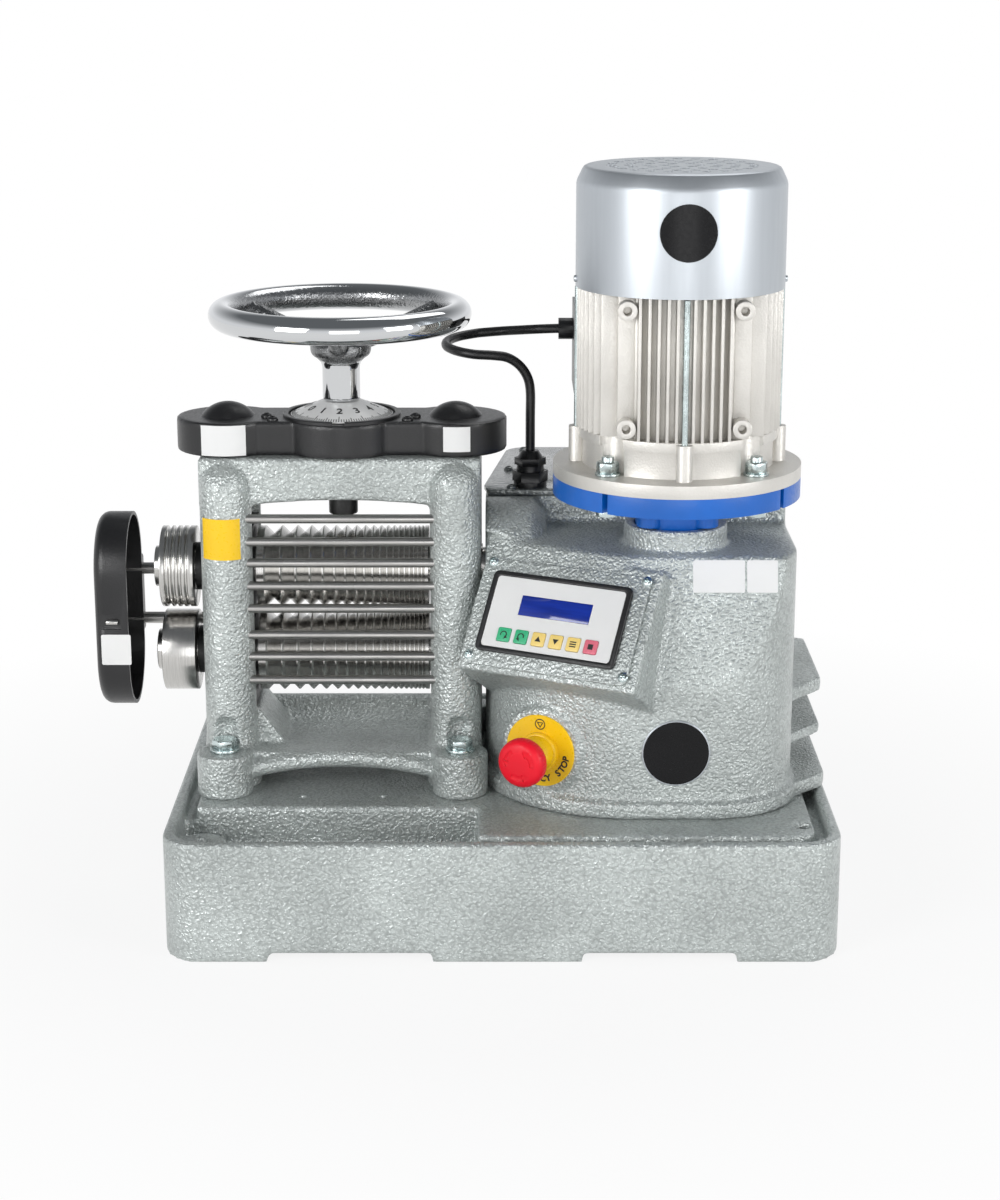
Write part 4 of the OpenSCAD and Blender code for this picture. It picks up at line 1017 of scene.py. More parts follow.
class MILL_OT_housing(bpy.types.Operator):
    """Gear housing with its panel box, gear bulge, stop button boss, lip and shelves"""

    bl_idname = "mill.housing"
    bl_label = "Gear Housing"

    def execute(self, context):
        sizes = context.scene.mill_sizes
        body = house_body(0, DECK)
        upper = UPPER.mid.z
        half_x, half_y = PANEL_HALF_X, PANEL_HALF_Y
        bulge = add_rod((HOUSE_LEFT, ROLL_Y, upper), (25, ROLL_Y, upper), 58, sides=96)
        nose = add_rod((24.9, ROLL_Y, upper), (37, ROLL_Y, upper), 58, 46, sides=96)
        face_cut = placed(add_box((-half_x - 20, -half_y, 0), (half_x, half_y + 12, 60)), PANEL)
        body = carved(joined(body, bulge, nose), face_cut)
        desk = placed(add_box((-half_x, -half_y, -62), (half_x, half_y, 0)), PANEL)
        pillar_at = (STAND_X + CHEEK, ROLL_Y - PILLAR_DY)
        clear = [add_rod((*pillar_at, DECK), (*pillar_at, DECK + 400), 25)]
        clear.append(add_box((-90, pillar_at[1], DECK), (pillar_at[0] + 25, 60, DECK + 400)))
        carved(desk, *clear)
        boss = placed(add_rod((0, 0, -30), (0, 0, 0), 35, sides=64), STOP)
        lip = add_plan(house_plan(-6), DECK, DECK + 13)
        apron = [(200, -122), (222, -110), (266, -68), (270, -58), (270, 96), (235.5, 118), (200, 118)]
        apron = add_plan(apron, DECK, DECK + 13)
        fin = [(227.5, -60), (238.5, -58), (268, -24), (270, -18), (270, 96), (227.5, 118)]
        shelves = [add_plan(fin, DECK + 34, DECK + 43), add_plan(fin, DECK + 71, DECK + 83)]
        seat = add_rod((MOTOR_X, MOTOR_Y, DECK + 208), (MOTOR_X, MOTOR_Y, DECK + 228), 42, sides=96)
        house = joined(body, desk, boss, lip, apron, seat, *shelves)
        wall = 7
        room = house_body(wall, DECK - 5)
        carved(room, placed(add_box((-half_x, -half_y, -wall), (half_x, half_y, 60)), PANEL))
        cuts = [room]
        for z, radius in ((upper, 47), (LOWER.mid.z, 41)):
            cuts.append(add_rod((-6.5, ROLL_Y, z), (25, ROLL_Y, z), radius))
        for z, slack in ((LOWER.mid.z, 0), (upper, 5)):
            low, high = (-20, ROLL_Y - 18, z - slack), (0, ROLL_Y + 18, z + slack)
            cuts.append(add_rod((-20, ROLL_Y, z - slack), (0, ROLL_Y, z - slack), 18))
            if slack:
                cuts.append(add_rod((-20, ROLL_Y, z + slack), (0, ROLL_Y, z + slack), 18))
                cuts.append(add_box(low, high))
        cuts.append(add_rod((MOTOR_X, MOTOR_Y, DECK + 180), (MOTOR_X, MOTOR_Y, DECK + 260), 33.5))
        cuts.append(placed(add_rod((0, 0, -45), (0, 0, 5), 8), STOP))
        for y in (ROLL_Y - FOOT_DY, ROLL_Y + FOOT_DY):
            foot_x = STAND_X + FOOT_DX
            cuts.append(add_rod((foot_x, y, DECK - 5), (foot_x, y, FOOT_TOP + 2), FOOT_R + 0.4))
        carved(house, *cuts)
        cast(house, sizes.casting_grain, 5, 0.5)
        done(house, "housing", "frame", FINISH["hammered"], ["gear_housing"])
        return {"FINISHED"}


class MILL_OT_lid(bpy.types.Operator):
    """Flat lid of the housing with its screws"""

    bl_idname = "mill.lid"
    bl_label = "Housing Lid"

    def execute(self, context):
        low, high = LID.low.z, LID.high.z
        edge, front = -1.5, 8.5
        radius = HOUSE_ARC_X - HOUSE_LEFT - edge
        left = HOUSE_ARC_X - math.sqrt(radius**2 - (front - HOUSE_ARC_Y) ** 2)
        plan = [(left, front), (HOUSE_RIGHT - edge, front)] + house_rear(edge)
        lid = add_plan(plan, low, high)
        carved(lid, add_rod((GLAND_X, GLAND_Y, low - 5), (GLAND_X, GLAND_Y, high + 5), 8))
        eased(lid, 1.4, 3)
        for x, y in ((8, 18), (228, 18), (228, 90), (160, 174), (20, 172), (6, 90)):
            joined(lid, moved(cap_screw(4.2, 2.6), x, y, high))
        # its finish is the casting grey, darkened as painted shade of a top face
        done(lid, "lid", "frame", FINISH["slate"], ["housing_lid"])
        return {"FINISHED"}


# panel and stop button


def key_icons():
    """One small generic sign for each key, about the origin and flat on Z 0."""
    depth = bpy.context.scene.mill_sizes.print_depth
    hook = arc(0, 0, 3.0, 200, -60, 14)
    inner = arc(0, 0, 2.1, -60, 200, 14)
    head = [(1.5, -0.9), (3.9, -2.2), (0.6, -3.9)]
    turn = joined(add_plan(hook + inner, 0, depth), add_plan(head, 0, depth))
    back = placed(copied(turn), Matrix.Diagonal((-1, 1, 1, 1)))
    edit(back)
    bpy.ops.mesh.normals_make_consistent(inside=False)
    leave()
    up = add_plan([(-2.6, -2.0), (2.6, -2.0), (0, 2.4)], 0, depth)
    down = add_plan([(-2.6, 2.0), (0, -2.4), (2.6, 2.0)], 0, depth)
    bars = joined(*[add_box((-2.8, y - 0.5, 0), (2.8, y + 0.5, depth)) for y in (-1.9, 0, 1.9)])
    square = add_box((-2.2, -2.2, 0), (2.2, 2.2, depth))
    return [turn, back, up, down, bars, square]


class MILL_OT_panel(bpy.types.Operator):
    """Control panel: plate, screws, keypad frame and face, display and six keys"""

    bl_idname = "mill.panel"
    bl_label = "Control Panel"

    def execute(self, context):
        middle = PANEL @ place_at(-2, -1.5)
        plate = placed(eased(add_plan(rounded(74, 45.5, 6), 0.05, PANEL_THICK), 0.9, 3), middle)
        done(plate, "panel_plate", "frame", FINISH["hammered"], ["control_panel"])
        corners = [(u * 68.8 + 2, v * 40 + 1.5) for u in (-1, 1) for v in (-1, 1)]
        places = [middle @ place_at(*corner, PANEL_THICK) for corner in corners]
        screws = repeated(cross_screw(4.2, 2.2), places)
        done(screws, "panel_screws_seen", "frame", FINISH["zinc"], ["panel_screws"])
        bezel = add_plan(rounded(62, 34.25, 5), PANEL_THICK, 6.4)
        carved(bezel, add_plan(rounded(57.3, 30, 3), 0, 10))
        placed(eased(bezel, 0.8, 3), middle)
        done(bezel, "keypad_frame", "frame", FINISH["moulding"], ["keypad_bezel"])
        face = add_plan(rounded(57.25, 29.95, 3), PANEL_THICK, 6)
        keys_at = [place_at((index - 2.5) * KEY_PITCH, KEY_ROW) for index in range(6)]
        wells = repeated(add_plan(rounded(6.0, 6.0, 1.6), 2, 10), keys_at)
        carved(face, wells, add_box((-31.5, -1, 5), (31.5, 16, 10)))
        placed(eased(face, 0.25, 2), middle)
        done(face, "keypad_film", "frame", FINISH["white"], ["keypad_face"], 15)
        glass = eased(add_box((-31.4, -0.9, 5), (31.4, 15.9, 6.1)), 0.3, 2)
        done(placed(glass, middle), "display_glass", "frame", FINISH["display"], ["display_window"])
        keys = ("key_forward", "key_reverse", "key_up", "key_down", "key_menu", "key_stop")
        finishes = ("green_key", "green_key", "amber_key", "amber_key", "amber_key", "red_key")
        cap = eased(add_plan(rounded(5.7, 5.7, 1.4), 3.7, 6.9), 0.5, 3)
        for name, finish, icon, place in zip(keys, finishes, key_icons(), keys_at):
            key = copied(cap)
            key.data.materials.clear()
            key.data.materials.append(FINISH[finish])
            marked(key, moved(icon, 0, 0, 6.88), FINISH["ink"])
            placed(key, middle @ place)
            finished(key, f"{name}_cap", name, [name])
        removed(cap)
        return {"FINISHED"}


class MILL_OT_stop_button(bpy.types.Operator):
    """Stop button: yellow disc with its legend, collar and red twist cap"""

    bl_idname = "mill.stop_button"
    bl_label = "Stop Button"

    def execute(self, context):
        depth = context.scene.mill_sizes.print_depth
        disc = add_turned([(7.3, 0.02), (30, 0.02), (30, 1.1), (29.6, 1.5), (7.3, 1.5)], 96)
        disc.data.materials.append(FINISH["yellow"])
        legend = "EMERGENCY STOP"
        for index, letter in enumerate(legend):
            if letter == " ":
                continue
            turn = -90 + (index - (len(legend) - 1) / 2) * 12.5
            place = place_at(*polar(23.5, turn), 1.5 + depth / 2) @ turned_by(turn + 90, "Z")
            marked(disc, placed(add_words(letter, 7.4, depth, 0.32), place), FINISH["ink"])
        sign = carved(add_rod((0, 0, 0), (0, 0, depth), 4.6), add_rod((0, 0, -1), (0, 0, 1), 3.7))
        arrow = [(-3.0, 1.8), (0, -3.2), (3.0, 1.8)]
        inner = add_plan([(-1.7, 1.1), (0, -1.7), (1.7, 1.1)], -1, 1)
        sign = joined(sign, carved(add_plan(arrow, 0, depth), inner))
        marked(disc, moved(sign, 0, 22.5, 1.5), FINISH["ink"])
        finished(placed(disc, STOP), "stop_disc", "frame", ["estop_plate"])
        collar = [(7.3, 1.5), (16, 1.5), (16, 5.6), (15.2, 6.5), (14.2, 6.7), (13.2, 18.5), (12.4, 19.8)]
        collar = placed(add_turned(collar + [(7.3, 19.8)], 72), STOP)
        done(collar, "stop_collar", "frame", FINISH["yellow"], ["estop_collar"])
        cap = [(7.1, 26), (13.5, 26), (18.6, 28.6), (19.8, 31), (20, 34), (19.6, 38), (17.6, 40.8)]
        cap += [(14.5, 42), (8, 42.4), (0, 42.5), (0, 28), (7.1, 28)]
        cap = add_turned(cap, 96)
        grooves = []
        for turn in (30, 150, 270):
            sweep = arc(0, 0, 13.2, turn - 32, turn + 18, 12) + arc(0, 0, 9.6, turn + 18, turn - 32, 12)
            grooves.append(add_plan(sweep, 41.4, 50))
            tip = [polar(8, turn + 18), polar(15, turn + 18), polar(11.4, turn + 44)]
            grooves.append(add_plan(tip, 41.4, 50))
        for turn in range(0, 360, 15):
            x, y = polar(21.2, turn)
            grooves.append(add_rod((x, y, 29), (x, y, 38.5), 1.6, sides=12))
        carved(cap, *grooves)
        eased(cap, 0.3, 2, 40)
        done(placed(cap, STOP), "stop_cap", "stop_head", FINISH["red"], ["estop_head"])
        return {"FINISHED"}


# handwheel, dial and gear cover


class MILL_OT_handwheel(bpy.types.Operator):
    """Plated handwheel: rim, three spokes, hub and sleeve"""

    bl_idname = "mill.handwheel"
    bl_label = "Handwheel"

    def execute(self, context):
        sizes = context.scene.mill_sizes
        rim_z, hub_z = COVER_TOP + 84, COVER_TOP + 57
        rim_r = WHEEL.high.z - rim_z
        ring = WHEEL.size.x / 2 - rim_r
        deselect()
        bpy.ops.mesh.primitive_torus_add(
            major_radius=ring * MM, minor_radius=rim_r * MM, major_segments=120, minor_segments=40
        )
        rim = moved(settled(context.active_object), 0, 0, rim_z)
        hub = [(9, 12.5), (14.5, 12.5), (15.5, 14), (15.5, 40), (16.5, 44), (19.5, 47.5), (23.5, 50)]
        hub += [(25, 53.5), (25, 57.5), (24, 60.5), (21.5, 62.8), (17, 64), (0, 64), (0, 61), (9, 61)]
        hub = add_turned([(r, COVER_TOP + z) for r, z in hub], 72)
        spokes = []
        for turn in (30, 150, 270):
            path = []
            for step in range(13):
                t = step / 12
                sag = 1.5 * math.sin(math.pi * t)
                height = hub_z + (rim_z - hub_z) * t - sag
                path.append((*polar(10 + (ring - 10) * t, turn), height))
            spokes.append(add_tube(path, sizes.spoke_radius, 24))
        wheel = joined(hub, *spokes)
        cast(wheel, 1.1, 8, 0.6)
        wheel = joined(wheel, rim)
        moved(wheel, STAND_X, ROLL_Y, 0)
        done(wheel, "handwheel_plated", "handwheel", FINISH["chrome"], ["handwheel"], 60)
        return {"FINISHED"}


class MILL_OT_dial(bpy.types.Operator):
    """Gap dial with plain numbers and tick marks, and the nut under the crown"""

    bl_idname = "mill.dial"
    bl_label = "Gap Dial"

    def execute(self, context):
        depth = context.scene.mill_sizes.print_depth
        low, high = DIAL.low.z, DIAL.high.z
        foot, top = DIAL.size.x / 2, 17
        dial = [(9, low), (foot, low), (foot, low + 0.9), (top, high), (9, high)]
        dial = add_turned(dial, 120)
        dial.data.materials.append(FINISH["white"])
        lean = math.atan2(high - low - 0.9, foot - top)
        mark_out = depth / 2

        def on_cone(share, turn):
            """A frame on the dial's slope, with +Y up the slope."""
            reach = foot + (top - foot) * share
            height = low + 0.9 + (high - low - 0.9) * share
            c, s = math.cos(turn), math.sin(turn)
            tilt_c, tilt_s = math.cos(lean), math.sin(lean)
            return Matrix((
                (-s, -c * tilt_c, c * tilt_s, reach * c + mark_out * c * tilt_s),
                (c, -s * tilt_c, s * tilt_s, reach * s + mark_out * s * tilt_s),
                (0, tilt_s, tilt_c, height + mark_out * tilt_c),
                (0, 0, 0, 1),
            ))

        marks = []
        for index in range(12):
            turn = math.radians(-90 + (index - 2) * 30)
            marks.append(placed(add_words(str(index), 10.5, depth, 0.22), on_cone(0.58, turn)))
        for index in range(120):
            turn = math.radians(-90 + index * 3)
            share = 0.27 if index % 10 == 0 else 0.2 if index % 5 == 0 else 0.13
            line = add_box((-0.3, 0, -depth / 2), (0.3, share * 27.5, depth / 2))
            marks.append(placed(line, on_cone(0.02, turn)))
        marked(dial, joined(*marks), FINISH["ink"])
        moved(dial, STAND_X, ROLL_Y, 0)
        finished(dial, "dial_marked", "handwheel", ["dial"])
        nut = softened("spindle_nut", 1.2, 3)
        done(nut, "spindle_collar", "handwheel", FINISH["blackened"], ["spindle_nut"])
        return {"FINISHED"}


class MILL_OT_gear_cover(bpy.types.Operator):
    """Black cover over the crown gears, with its dial ring, domes and screws"""

    bl_idname = "mill.gear_cover"
    bl_label = "Gear Cover"

    def execute(self, context):
        top = COVER_TOP

        def shell(inset, low, high):
            lobes = []
            for x in (-CHEEK, CHEEK):
                lobes.append(add_rod((x, 0, low), (x, 0, high), COVER_LOBE_R - inset, sides=96))
            waist = 33 - inset
            lobes.append(add_box((-CHEEK, -waist, low), (CHEEK, waist, high)))
            lobes.append(add_rod((0, 0, low), (0, 0, high), 50 - inset, sides=96))
            return joined(*lobes)

        cover = shell(0, CROWN_TOP, top)
        cast(cover, 1.6, 6, 0.5)
        room = shell(4, CROWN_TOP - 5, top - 4)
        carved(cover, room)
        ring = [(44, top - 2), (48.5, top - 2), (48.5, top + 1.9), (47.9, top + 2.5)]
        ring = add_turned(ring + [(44.6, top + 2.5), (44, top + 1.9)], 120)
        carved(ring, add_box((-5, -60, top - 0.1), (5, -35, top + 6)))
        dome = [(0, top - 2)] + arc(0, top - 16.5, 27.5, 31.5, 90, 14)
        domes = []
        for side in (-1, 1):
            domes.append(moved(add_turned([(max(r, 0), z) for r, z in dome], 64), side * CHEEK, 0, 0))
        cover = joined(cover, ring, *domes)
        moved(cover, STAND_X, ROLL_Y, 0)
        done(cover, "gear_cover_seen", "frame", FINISH["moulding"], ["gear_cover"], 30)
        places = [place_at(STAND_X + x, ROLL_Y + y, top) for x, y in COVER_SCREWS]
        screws = repeated(cap_screw(4.6, 3.2), places)
        done(screws, "cover_screws_seen", "frame", FINISH["moulding"], ["cover_screws"])
        return {"FINISHED"}


# motor, gearbox and cable


class MILL_OT_motor(bpy.types.Operator):
    """Motor: finned body, flange, fan cover with its grille, and hex nuts"""

    bl_idname = "mill.motor"
    bl_label = "Motor"

    def execute(self, context):
        sizes = context.scene.mill_sizes
        low, high = SHIELD_TOP, BODY_TOP
        reach, core = MOTOR_R, MOTOR_R - 9
        body = [add_rod((0, 0, low), (0, 0, high), core, sides=96)]
        half = sizes.fin_thickness / 2
        for turn, count in ((0, 7), (90, 5), (180, 7), (270, 5)):
            fins = []
            for index in range(count):
                side = 6.5 + index * sizes.fin_pitch
                tip = math.sqrt(reach**2 - (side + half) ** 2)
                root = math.sqrt(core**2 - side**2) - 4
                for sign in (-1, 1):
                    row = [(root, sign * side - half - 0.5), (tip, sign * side - half)]
                    row += [(tip, sign * side + half), (root, sign * side + half + 0.5)]
                    fins.append(add_plan(row, low, high))
            body.append(placed(joined(*fins), turned_by(turn, "Z")))
        pad_x, pad_face, eye_face = reach * 0.55, reach * 0.76, reach - 7
        for sign in (-1, 1):
            at = sign * pad_x
            body.append(add_box((at - 6.5, -pad_face, low), (at + 6.5, -pad_face / 2, high)))
            for z in (low + 10, high - 10):
                eye = add_rod((at, -pad_face / 2, z), (at, -eye_face, z), 7.5, sides=40)
                carved(eye, add_rod((at, -eye_face + 12, z), (at, -eye_face - 5, z), 3.4, sides=32))
                body.append(eye)
        body = eased(joined(*body), 0.45, 2, 40)
        moved(body, MOTOR_X, MOTOR_Y, 0)
        done(body, "motor_case", "frame", FINISH["alloy"], ["motor_body"], 40)

        end = FAN_COVER.high.z
        outer = reach + 1
        shell = [(outer, BODY_TOP), (outer, end - 14), (outer - 0.35, end - 11.8)]
        shell += [(outer - 1.2, end - 9.6), (outer - 4.6, end - 2.6), (outer - 5.7, end - 1.1)]
        shell += [(outer - 7.4, end - 0.2), (outer - 9, end), (0, end), (0, end - 2)]
        shell += [(outer - 8, end - 2), (outer - 2.8, end - 11)]
        shell += [(outer - 2, end - 14), (outer - 2, BODY_TOP)]
        cover = add_turned(shell, 160)
        grille = []
        for ring in range(1, 5):
            for spot in range(6 * ring):
                x, y = polar(14 * ring, 360 * spot / (6 * ring))
                grille.append(add_rod((x, y, end - 8), (x, y, end + 5), 4, sides=20))
        carved(cover, *grille)
        for turn in (-176, -4, 90):
            start = (*polar(outer - 1, turn), BODY_TOP + 6)
            tip = (*polar(outer + 1.8, turn), BODY_TOP + 6)
            joined(cover, eased(add_rod(start, tip, 3, 2.4, sides=20), 0.6, 2))
        moved(cover, MOTOR_X, MOTOR_Y, 0)
        done(cover, "fan_cover_seen", "frame", FINISH["sheet"], ["fan_cover"], 24)

        flange = softened("motor_flange", 0.9, 3)
        done(flange, "motor_flange_seen", "frame", FINISH["alloy"], ["motor_flange"])
        nut_low, nut_high = FLANGE.low.z - 16, FLANGE.low.z + 10.5
        head = placed(hex_head(16, 6.5), turned_by(180, "X"))
        stud = eased(add_rod((0, 0, nut_high), (0, 0, nut_high + 15), 5, sides=32), 0.6, 2)
        washer = eased(add_rod((0, 0, nut_high), (0, 0, nut_high + 2), 10, sides=40), 0.3, 2)
        nut = moved(hex_head(16, 9), 0, 0, nut_high + 2)
        bolt = joined(moved(head, 0, 0, nut_low), stud, washer, nut)
        places = []
        for turn in (45, 135, 225, 315):
            on_circle = place_at(MOTOR_X, MOTOR_Y) @ place_at(*polar(BOLT_CIRCLE_R, turn))
            places.append(on_circle @ turned_by(turn * 7 % 60, "Z"))
        bolts = repeated(bolt, places)
        done(bolts, "flange_nuts", "frame", FINISH["zinc"], ["flange_bolts"])
        return {"FINISHED"}


class MILL_OT_gearbox(bpy.types.Operator):
    """Blue gearbox flange and neck"""

    bl_idname = "mill.gearbox"
    bl_label = "Gearbox"

    def execute(self, context):
        case = softened("gearbox_case", 1.4, 3)
        done(case, "gearbox_enamelled", "frame", FINISH["blue"], ["gearbox_case"])
        return {"FINISHED"}


class MILL_OT_cable(bpy.types.Operator):
    """Motor cable, its glands, the terminal box and the mains inlet"""

    bl_idname = "mill.cable"
    bl_label = "Cable and Glands"

    def execute(self, context):
        route = [
            *[(GLAND_X, GLAND_Y, z) for z in (362, 380, 398, 418)], (21.6, 27.4, 430.2),
            (14.9, 25.6, 440.6), (4.9, 22.9, 447.6), (-6.9, 19.7, 450), (-23.5, 19.7, 451),
            (-37.8, 28, 452.5), (-46.1, 42.3, 454), (-46.1, 58.9, 455.5), (-37.8, 73.2, 457),
            (-23.5, 81.5, 458.5), (-15.2, 82.6, 459.3), (0.9, 80, 461), (15.4, 72.3, 463),
            (29.9, 64.6, 465), (46, 62, 466), (54, 62, 466),
        ]
        points = smooth_path([Vector(spot) for spot in route], 5)
        cable = settled(add_path(points, CABLE_R, 5))
        cable.name = "motor_lead"
        cable.data.name = "motor_lead"
        cable.data.materials.append(FINISH["sheath"])
        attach(cable, "frame")
        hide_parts("motor_cable")
        for node, width in (("cable_glands", 0.7), ("terminal_box", 2.0), ("mains_inlet", 0.7)):
            piece = softened(node, width, 3)
            done(piece, f"{node}_seen", "frame", FINISH["moulding"], [node])
        return {"FINISHED"}


# rolls, guard and fasteners


class MILL_OT_side_rolls(bpy.types.Operator):
    """Side rolls outside the left cheek: one with half-round grooves, one plain"""

    bl_idname = "mill.side_rolls"
    bl_label = "Side Rolls"

    def execute(self, context):
        for node, body in (("upper_side_roll", "upper_roll"), ("lower_side_roll", "lower_roll")):
            roll = softened(node, 0.7, 3)
            done(roll, f"{node}_seen", body, FINISH["turned"], [node])
        return {"FINISHED"}


class MILL_OT_guard(bpy.types.Operator):
    """Sliding side guard with its pull pin"""

    bl_idname = "mill.guard"
    bl_label = "Side Guard"

    def execute(self, context):
        low, high = LOWER.mid.z, UPPER.mid.z
        left, right = GUARD.low.x, GUARD.high.x
        front = GUARD.low.y
        nip = (low + high) / 2

        def shell(inset, start, end):
            radius = ROLL_Y - front - inset
            slot = arc(ROLL_Y, high, radius, 0, 180, 32) + arc(ROLL_Y, low, radius, 180, 360, 32)
            return add_profile(slot, start, end)

        guard = eased(shell(0, left, right + 40), 9, 6)
        block = add_box((left + 8, ROLL_Y + 20, low + 2), (right, GUARD.high.y, low + 70))
        guard = joined(guard, eased(block, 3, 3))
        cuts = [eased(shell(3, left + 3, right + 60), 6, 5)]
        cuts.append(add_box((right, -80, 100), (right + 60, 80, 400)))
        for rise in (14, 58):
            cuts.append(add_rod((left - 5, 38, low + rise), (right + 5, 38, low + rise), 5.15))
        cuts.append(add_box((left - 5, front - 5, nip - 6.5), (right - 6, front + 1.8, nip + 6.5)))
        carved(guard, *cuts)
        eased(guard, 0.5, 2, 50)
        done(guard, "side_guard_seen", "guard", FINISH["moulding"], ["side_guard"])
        pin = softened("guard_pin", 0.6, 3)
        done(pin, "guard_pin_seen", "guard", FINISH["turned"], ["guard_pin"])
        return {"FINISHED"}


class MILL_OT_stand_bolts(bpy.types.Operator):
    """Hexagon bolts that hold the stand's feet"""

    bl_idname = "mill.stand_bolts"
    bl_label = "Stand Bolts"

    def execute(self, context):
        washer = eased(add_rod((0, 0, 0), (0, 0, 2.5), 12, sides=48), 0.4, 2)
        bolt = joined(moved(hex_head(18, 8), 0, 0, 2.5), washer)
        places = []
        for side in (-1, 1):
            for back in (-1, 1):
                foot = place_at(STAND_X + side * FOOT_DX, ROLL_Y + back * FOOT_DY, FOOT_TOP)
                places.append(foot @ turned_by(11 + 23 * side + 7 * back, "Z"))
        bolts = repeated(bolt, places)
        done(bolts, "foot_bolts", "frame", FINISH["zinc"], ["stand_bolts"])
        return {"FINISHED"}


class MILL_OT_plates(bpy.types.Operator):
    """Blank plates and roundels on the cover, stand, housing, motor and guard"""

    bl_idname = "mill.plates"
    bl_label = "Blank Plates"

    def execute(self, context):
        lift = context.scene.mill_sizes.plate_depth
        left, right = STAND_X - CHEEK, STAND_X + CHEEK
        film = [
            add_wrap((left, ROLL_Y), COVER_LOBE_R, -90, 37, 379.5, 404.5, lift),
            add_wrap((right, ROLL_Y), COVER_LOBE_R, -88, 22, 383, 403.5, lift),
        ]
        for low_x, high_x in ((152.4, 193.9), (195.5, 220.2)):
            plate = eased(add_plan(rounded((high_x - low_x) / 2, 13, 1.5), 0, lift), 0.1, 1)
            face = place_at((low_x + high_x) / 2, -111.85, 294.45)
            film.append(placed(plate, face @ turned_by(HOUSE_SLOPE + 90, "X")))
        done(joined(*film), "blank_films", "frame", FINISH["white"], ())
        tag = add_wrap((left, ROLL_Y - PILLAR_DY), PILLAR_R, -98, 34, 297, 331, lift)
        done(tag, "blank_tag", "frame", FINISH["yellow"], ())
        guard_film = eased(add_plan(rounded(12.2, 13, 1.5), 0, lift), 0.1, 1)
        placed(guard_film, place_at(-319, ROLL_Y - 46, 217) @ UPRIGHT)
        done(guard_film, "blank_guard_film", "guard", FINISH["white"], ())
        on_house = place_at(139.6, HOUSE_FRONT, 155) @ UPRIGHT
        disc = placed(add_turned([(0, 0), (26.4, 0), (26.4, 0.8), (0, 0.8)], 96), on_house)
        done(disc, "blank_roundel", "frame", FINISH["roundel"], ())
        rim = [(26.4, 0), (27.5, 0), (27.5, 0.7), (27, 1.1), (26.4, 1.1)]
        edging = [placed(add_turned(rim, 96), on_house)]
        on_motor = place_at(MOTOR_X, MOTOR_Y, 570.5) @ UPRIGHT
        badges = []
        for radius, hole in ((22, 0), (23, 22)):
            badge = add_wrap((MOTOR_X, MOTOR_Y), MOTOR_R + 1, -90.5, 52, 545, 596, lift)
            cutter = add_turned([(hole, 60), (radius, 60), (radius, 120), (hole, 120)], 96)
            placed(cutter, on_motor)
            badges.append(kept_inside(badge, cutter))
        done(badges[0], "blank_badge", "frame", FINISH["roundel"], ())
        edging.append(badges[1])
        done(joined(*edging), "badge_edging", "frame", FINISH["sheet"], ())
        return {"FINISHED"}


class MILL_OT_plain_parts(bpy.types.Operator):
    """Finishes for the CAD solids that keep their own shape"""

    bl_idname = "mill.plain_parts"
    bl_label = "Plain Parts"

    def execute(self, context):
        for node, finish in PLAIN_NODES.items():
            piece = frame["nodes"][node]
            for place in range(max(1, len(piece.material_slots))):
                if len(piece.material_slots) <= place:
                    piece.data.materials.append(FINISH[finish])
                piece.material_slots[place].material = FINISH[finish]
        return {"FINISHED"}


# stage


def floor_finish():
    """A pale floor that the camera and mirrors see as white, with the shadow kept."""
    finish = bpy.data.materials.new("StudioFloor")
    finish.use_nodes = True
    tree = finish.node_tree
    tree.nodes.remove(tree.nodes["Principled BSDF"])
    out = tree.nodes["Material Output"]
    matt = add_node(tree, "BsdfDiffuse", Color=(0.9, 0.9, 0.9, 1))
    glow = add_node(tree, "Emission", Strength=1.0)
    seen = seen_rays(tree, "Is Camera Ray", "Is Glossy Ray", "Is Transmission Ray")
    place = add_node(tree, "TexCoord")
    reach = add_node(tree, "VectorMath", "LENGTH")
    fade = add_range(tree, reach, "Value", 0.36, 0.85)
    fade.inputs["To Min"].default_value = 0.86
    link(tree, place, "Object", reach, 0)
    share = add_node(tree, "Math", "MULTIPLY")
    link(tree, seen, "Value", share, 0)
    link(tree, fade, "Result", share, 1)
    mix = add_node(tree, "MixShader")
    link(tree, share, "Value", mix, "Fac")
    link(tree, matt, 0, mix, 1)
    link(tree, glow, 0, mix, 2)
    link(tree, mix, "Shader", out, "Surface")
    return finish


def seen_rays(tree, first, *others):
    """One where a ray is of any of the named kinds."""
    path = add_node(tree, "LightPath")
    source, out = path, first
    for kind in others:
        either = add_node(tree, "Math", "MAXIMUM")
        link(tree, source, out, either, 0)
        link(tree, path, kind, either, 1)
        source, out = either, "Value"
    return source


def studio_world():
    """White for the camera, and a bright horizon under a darker top for light and gloss."""
    world = bpy.data.worlds.new("Studio")
    world.use_nodes = True
    tree = world.node_tree
    light = tree.nodes["Background"]
    light.inputs["Strength"].default_value = 1.0
    place = add_node(tree, "TexCoord")
    split = add_node(tree, "SeparateXYZ")
    ramp = add_node(tree, "ValToRGB")
    ramp.color_ramp.elements[0].position = 0.12
    ramp.color_ramp.elements[0].color = (0.95, 0.96, 0.98, 1)
    ramp.color_ramp.elements[1].position = 0.62
    ramp.color_ramp.elements[1].color = (0.16, 0.17, 0.18, 1)
    link(tree, place, "Generated", split, "Vector")
    link(tree, split, "Z", ramp, "Fac")
    link(tree, ramp, "Color", light, "Color")
    white = add_node(tree, "Background", Color=(1, 1, 1, 1))
    clear = seen_rays(tree, "Is Camera Ray", "Is Transmission Ray")
    mix = add_node(tree, "MixShader")
    link(tree, clear, "Value", mix, "Fac")
    link(tree, light, 0, mix, 1)
    link(tree, white, 0, mix, 2)
    link(tree, mix, "Shader", tree.nodes["World Output"], "Surface")
    return world


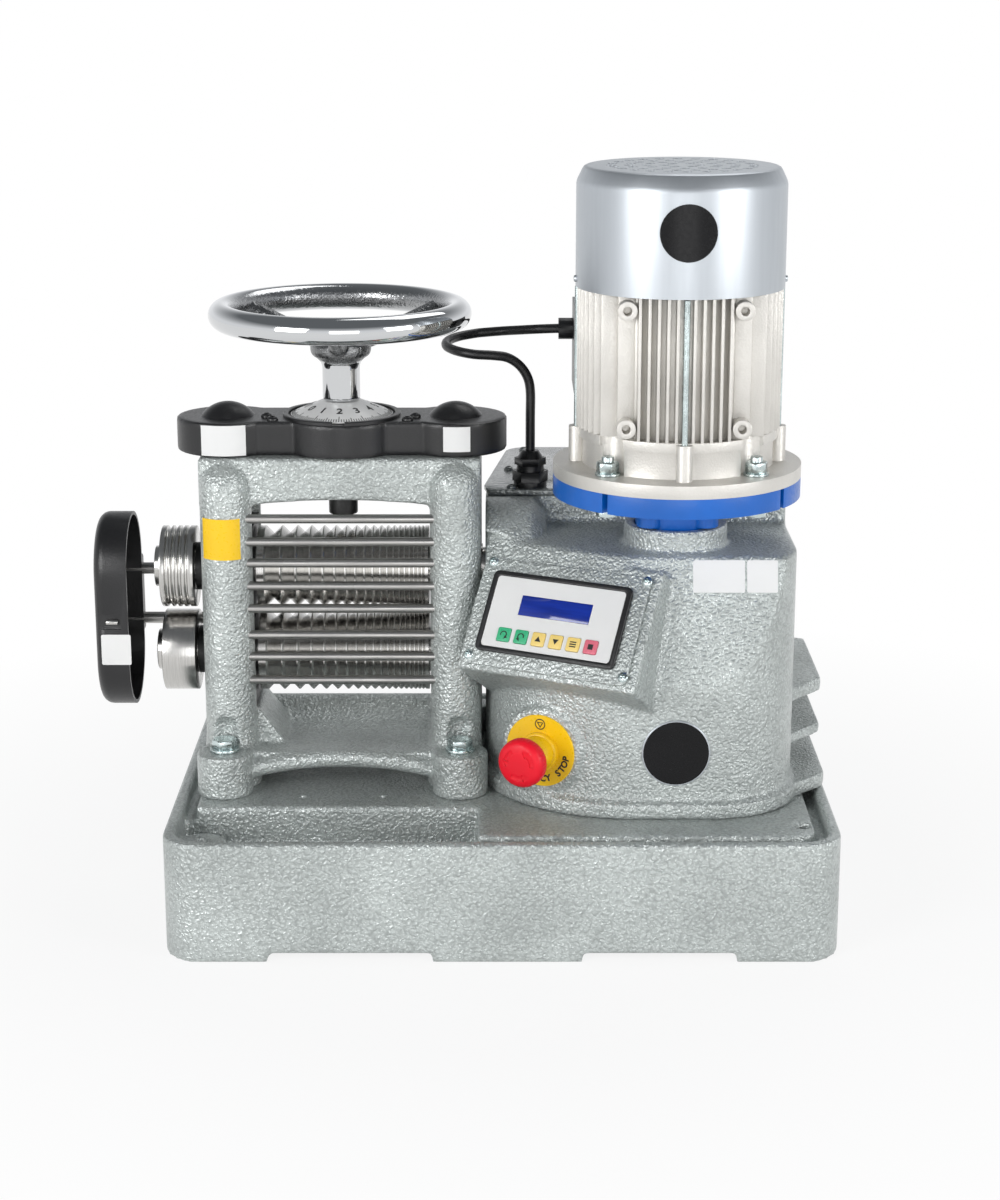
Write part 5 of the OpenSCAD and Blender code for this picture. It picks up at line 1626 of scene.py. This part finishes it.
class MILL_OT_stage(bpy.types.Operator):
    """Pale floor, soft studio light and the camera at the front"""

    bl_idname = "mill.stage"
    bl_label = "Stage"

    def execute(self, context):
        deselect()
        bpy.ops.mesh.primitive_plane_add(size=14, location=(0, 0, -0.0004))
        floor = settled(context.active_object)
        floor.name = "studio_floor"
        floor.data.materials.append(floor_finish())
        context.scene.world = studio_world()
        boxes = (
            ("left_softbox", (-1.5, -1.7, 0.95), (0, 0, 0.28), 1.1, 26),
            ("right_softbox", (1.7, -1.3, 0.9), (0, 0, 0.3), 1.0, 16),
            ("front_fill", (0.2, -2.7, 0.5), (0, 0, 0.25), 1.2, 8),
            ("rear_softbox", (0.5, 1.2, 2.2), (0, 0, 0.3), 1.2, 9),
        )
        for name, place, target, size, power in boxes:
            way = Vector(target) - Vector(place)
            deselect()
            bpy.ops.object.light_add(
                type="AREA", location=place, rotation=way.to_track_quat("-Z", "Y").to_euler()
            )
            lamp = context.active_object
            lamp.name = name
            lamp.data.size = size
            lamp.data.energy = power
        deselect()
        bpy.ops.object.camera_add(
            location=(-0.0015, -2.001, 0.7918), rotation=(math.radians(90 - 15.3), 0, 0)
        )
        camera = context.active_object
        camera.name = "front_camera"
        camera.data.lens = 73.5
        camera.data.sensor_width = 36
        context.scene.camera = camera
        context.scene.view_settings.view_transform = "Standard"
        return {"FINISHED"}


# side panel and start


OPERATORS = (
    MILL_OT_stage,
    MILL_OT_cable,
    MILL_OT_base,
    MILL_OT_stand,
    MILL_OT_housing,
    MILL_OT_lid,
    MILL_OT_panel,
    MILL_OT_stop_button,
    MILL_OT_gear_cover,
    MILL_OT_handwheel,
    MILL_OT_dial,
    MILL_OT_motor,
    MILL_OT_gearbox,
    MILL_OT_side_rolls,
    MILL_OT_guard,
    MILL_OT_stand_bolts,
    MILL_OT_plates,
    MILL_OT_plain_parts,
)


class MILL_PT_sidebar(bpy.types.Panel):
    """Lists the sizes, colours and building steps of the mill"""

    bl_idname = "MILL_PT_sidebar"
    bl_label = "Wire Rolling Mill"
    bl_space_type = "VIEW_3D"
    bl_region_type = "UI"
    bl_category = "Rolling Mill"

    def draw(self, context):
        for group in (context.scene.mill_sizes, context.scene.mill_colours):
            column = self.layout.column(align=True)
            for name in group.__annotations__:
                column.prop(group, name)
        steps = self.layout.column(align=True)
        for operator in OPERATORS:
            steps.operator(operator.bl_idname)


CLASSES = (MillSizes, MillColours, *OPERATORS, MILL_PT_sidebar)


def register():
    for part in CLASSES:
        bpy.utils.register_class(part)
    bpy.types.Scene.mill_sizes = bpy.props.PointerProperty(type=MillSizes)
    bpy.types.Scene.mill_colours = bpy.props.PointerProperty(type=MillColours)


def unregister():
    del bpy.types.Scene.mill_colours
    del bpy.types.Scene.mill_sizes
    for part in reversed(CLASSES):
        bpy.utils.unregister_class(part)


def main():
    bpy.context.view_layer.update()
    register()
    make_finishes(bpy.context.scene.mill_colours)
    for operator in OPERATORS:
        group, name = operator.bl_idname.split(".")
        getattr(getattr(bpy.ops, group), name)()
    deselect()


if __name__ == "__main__":
    main()
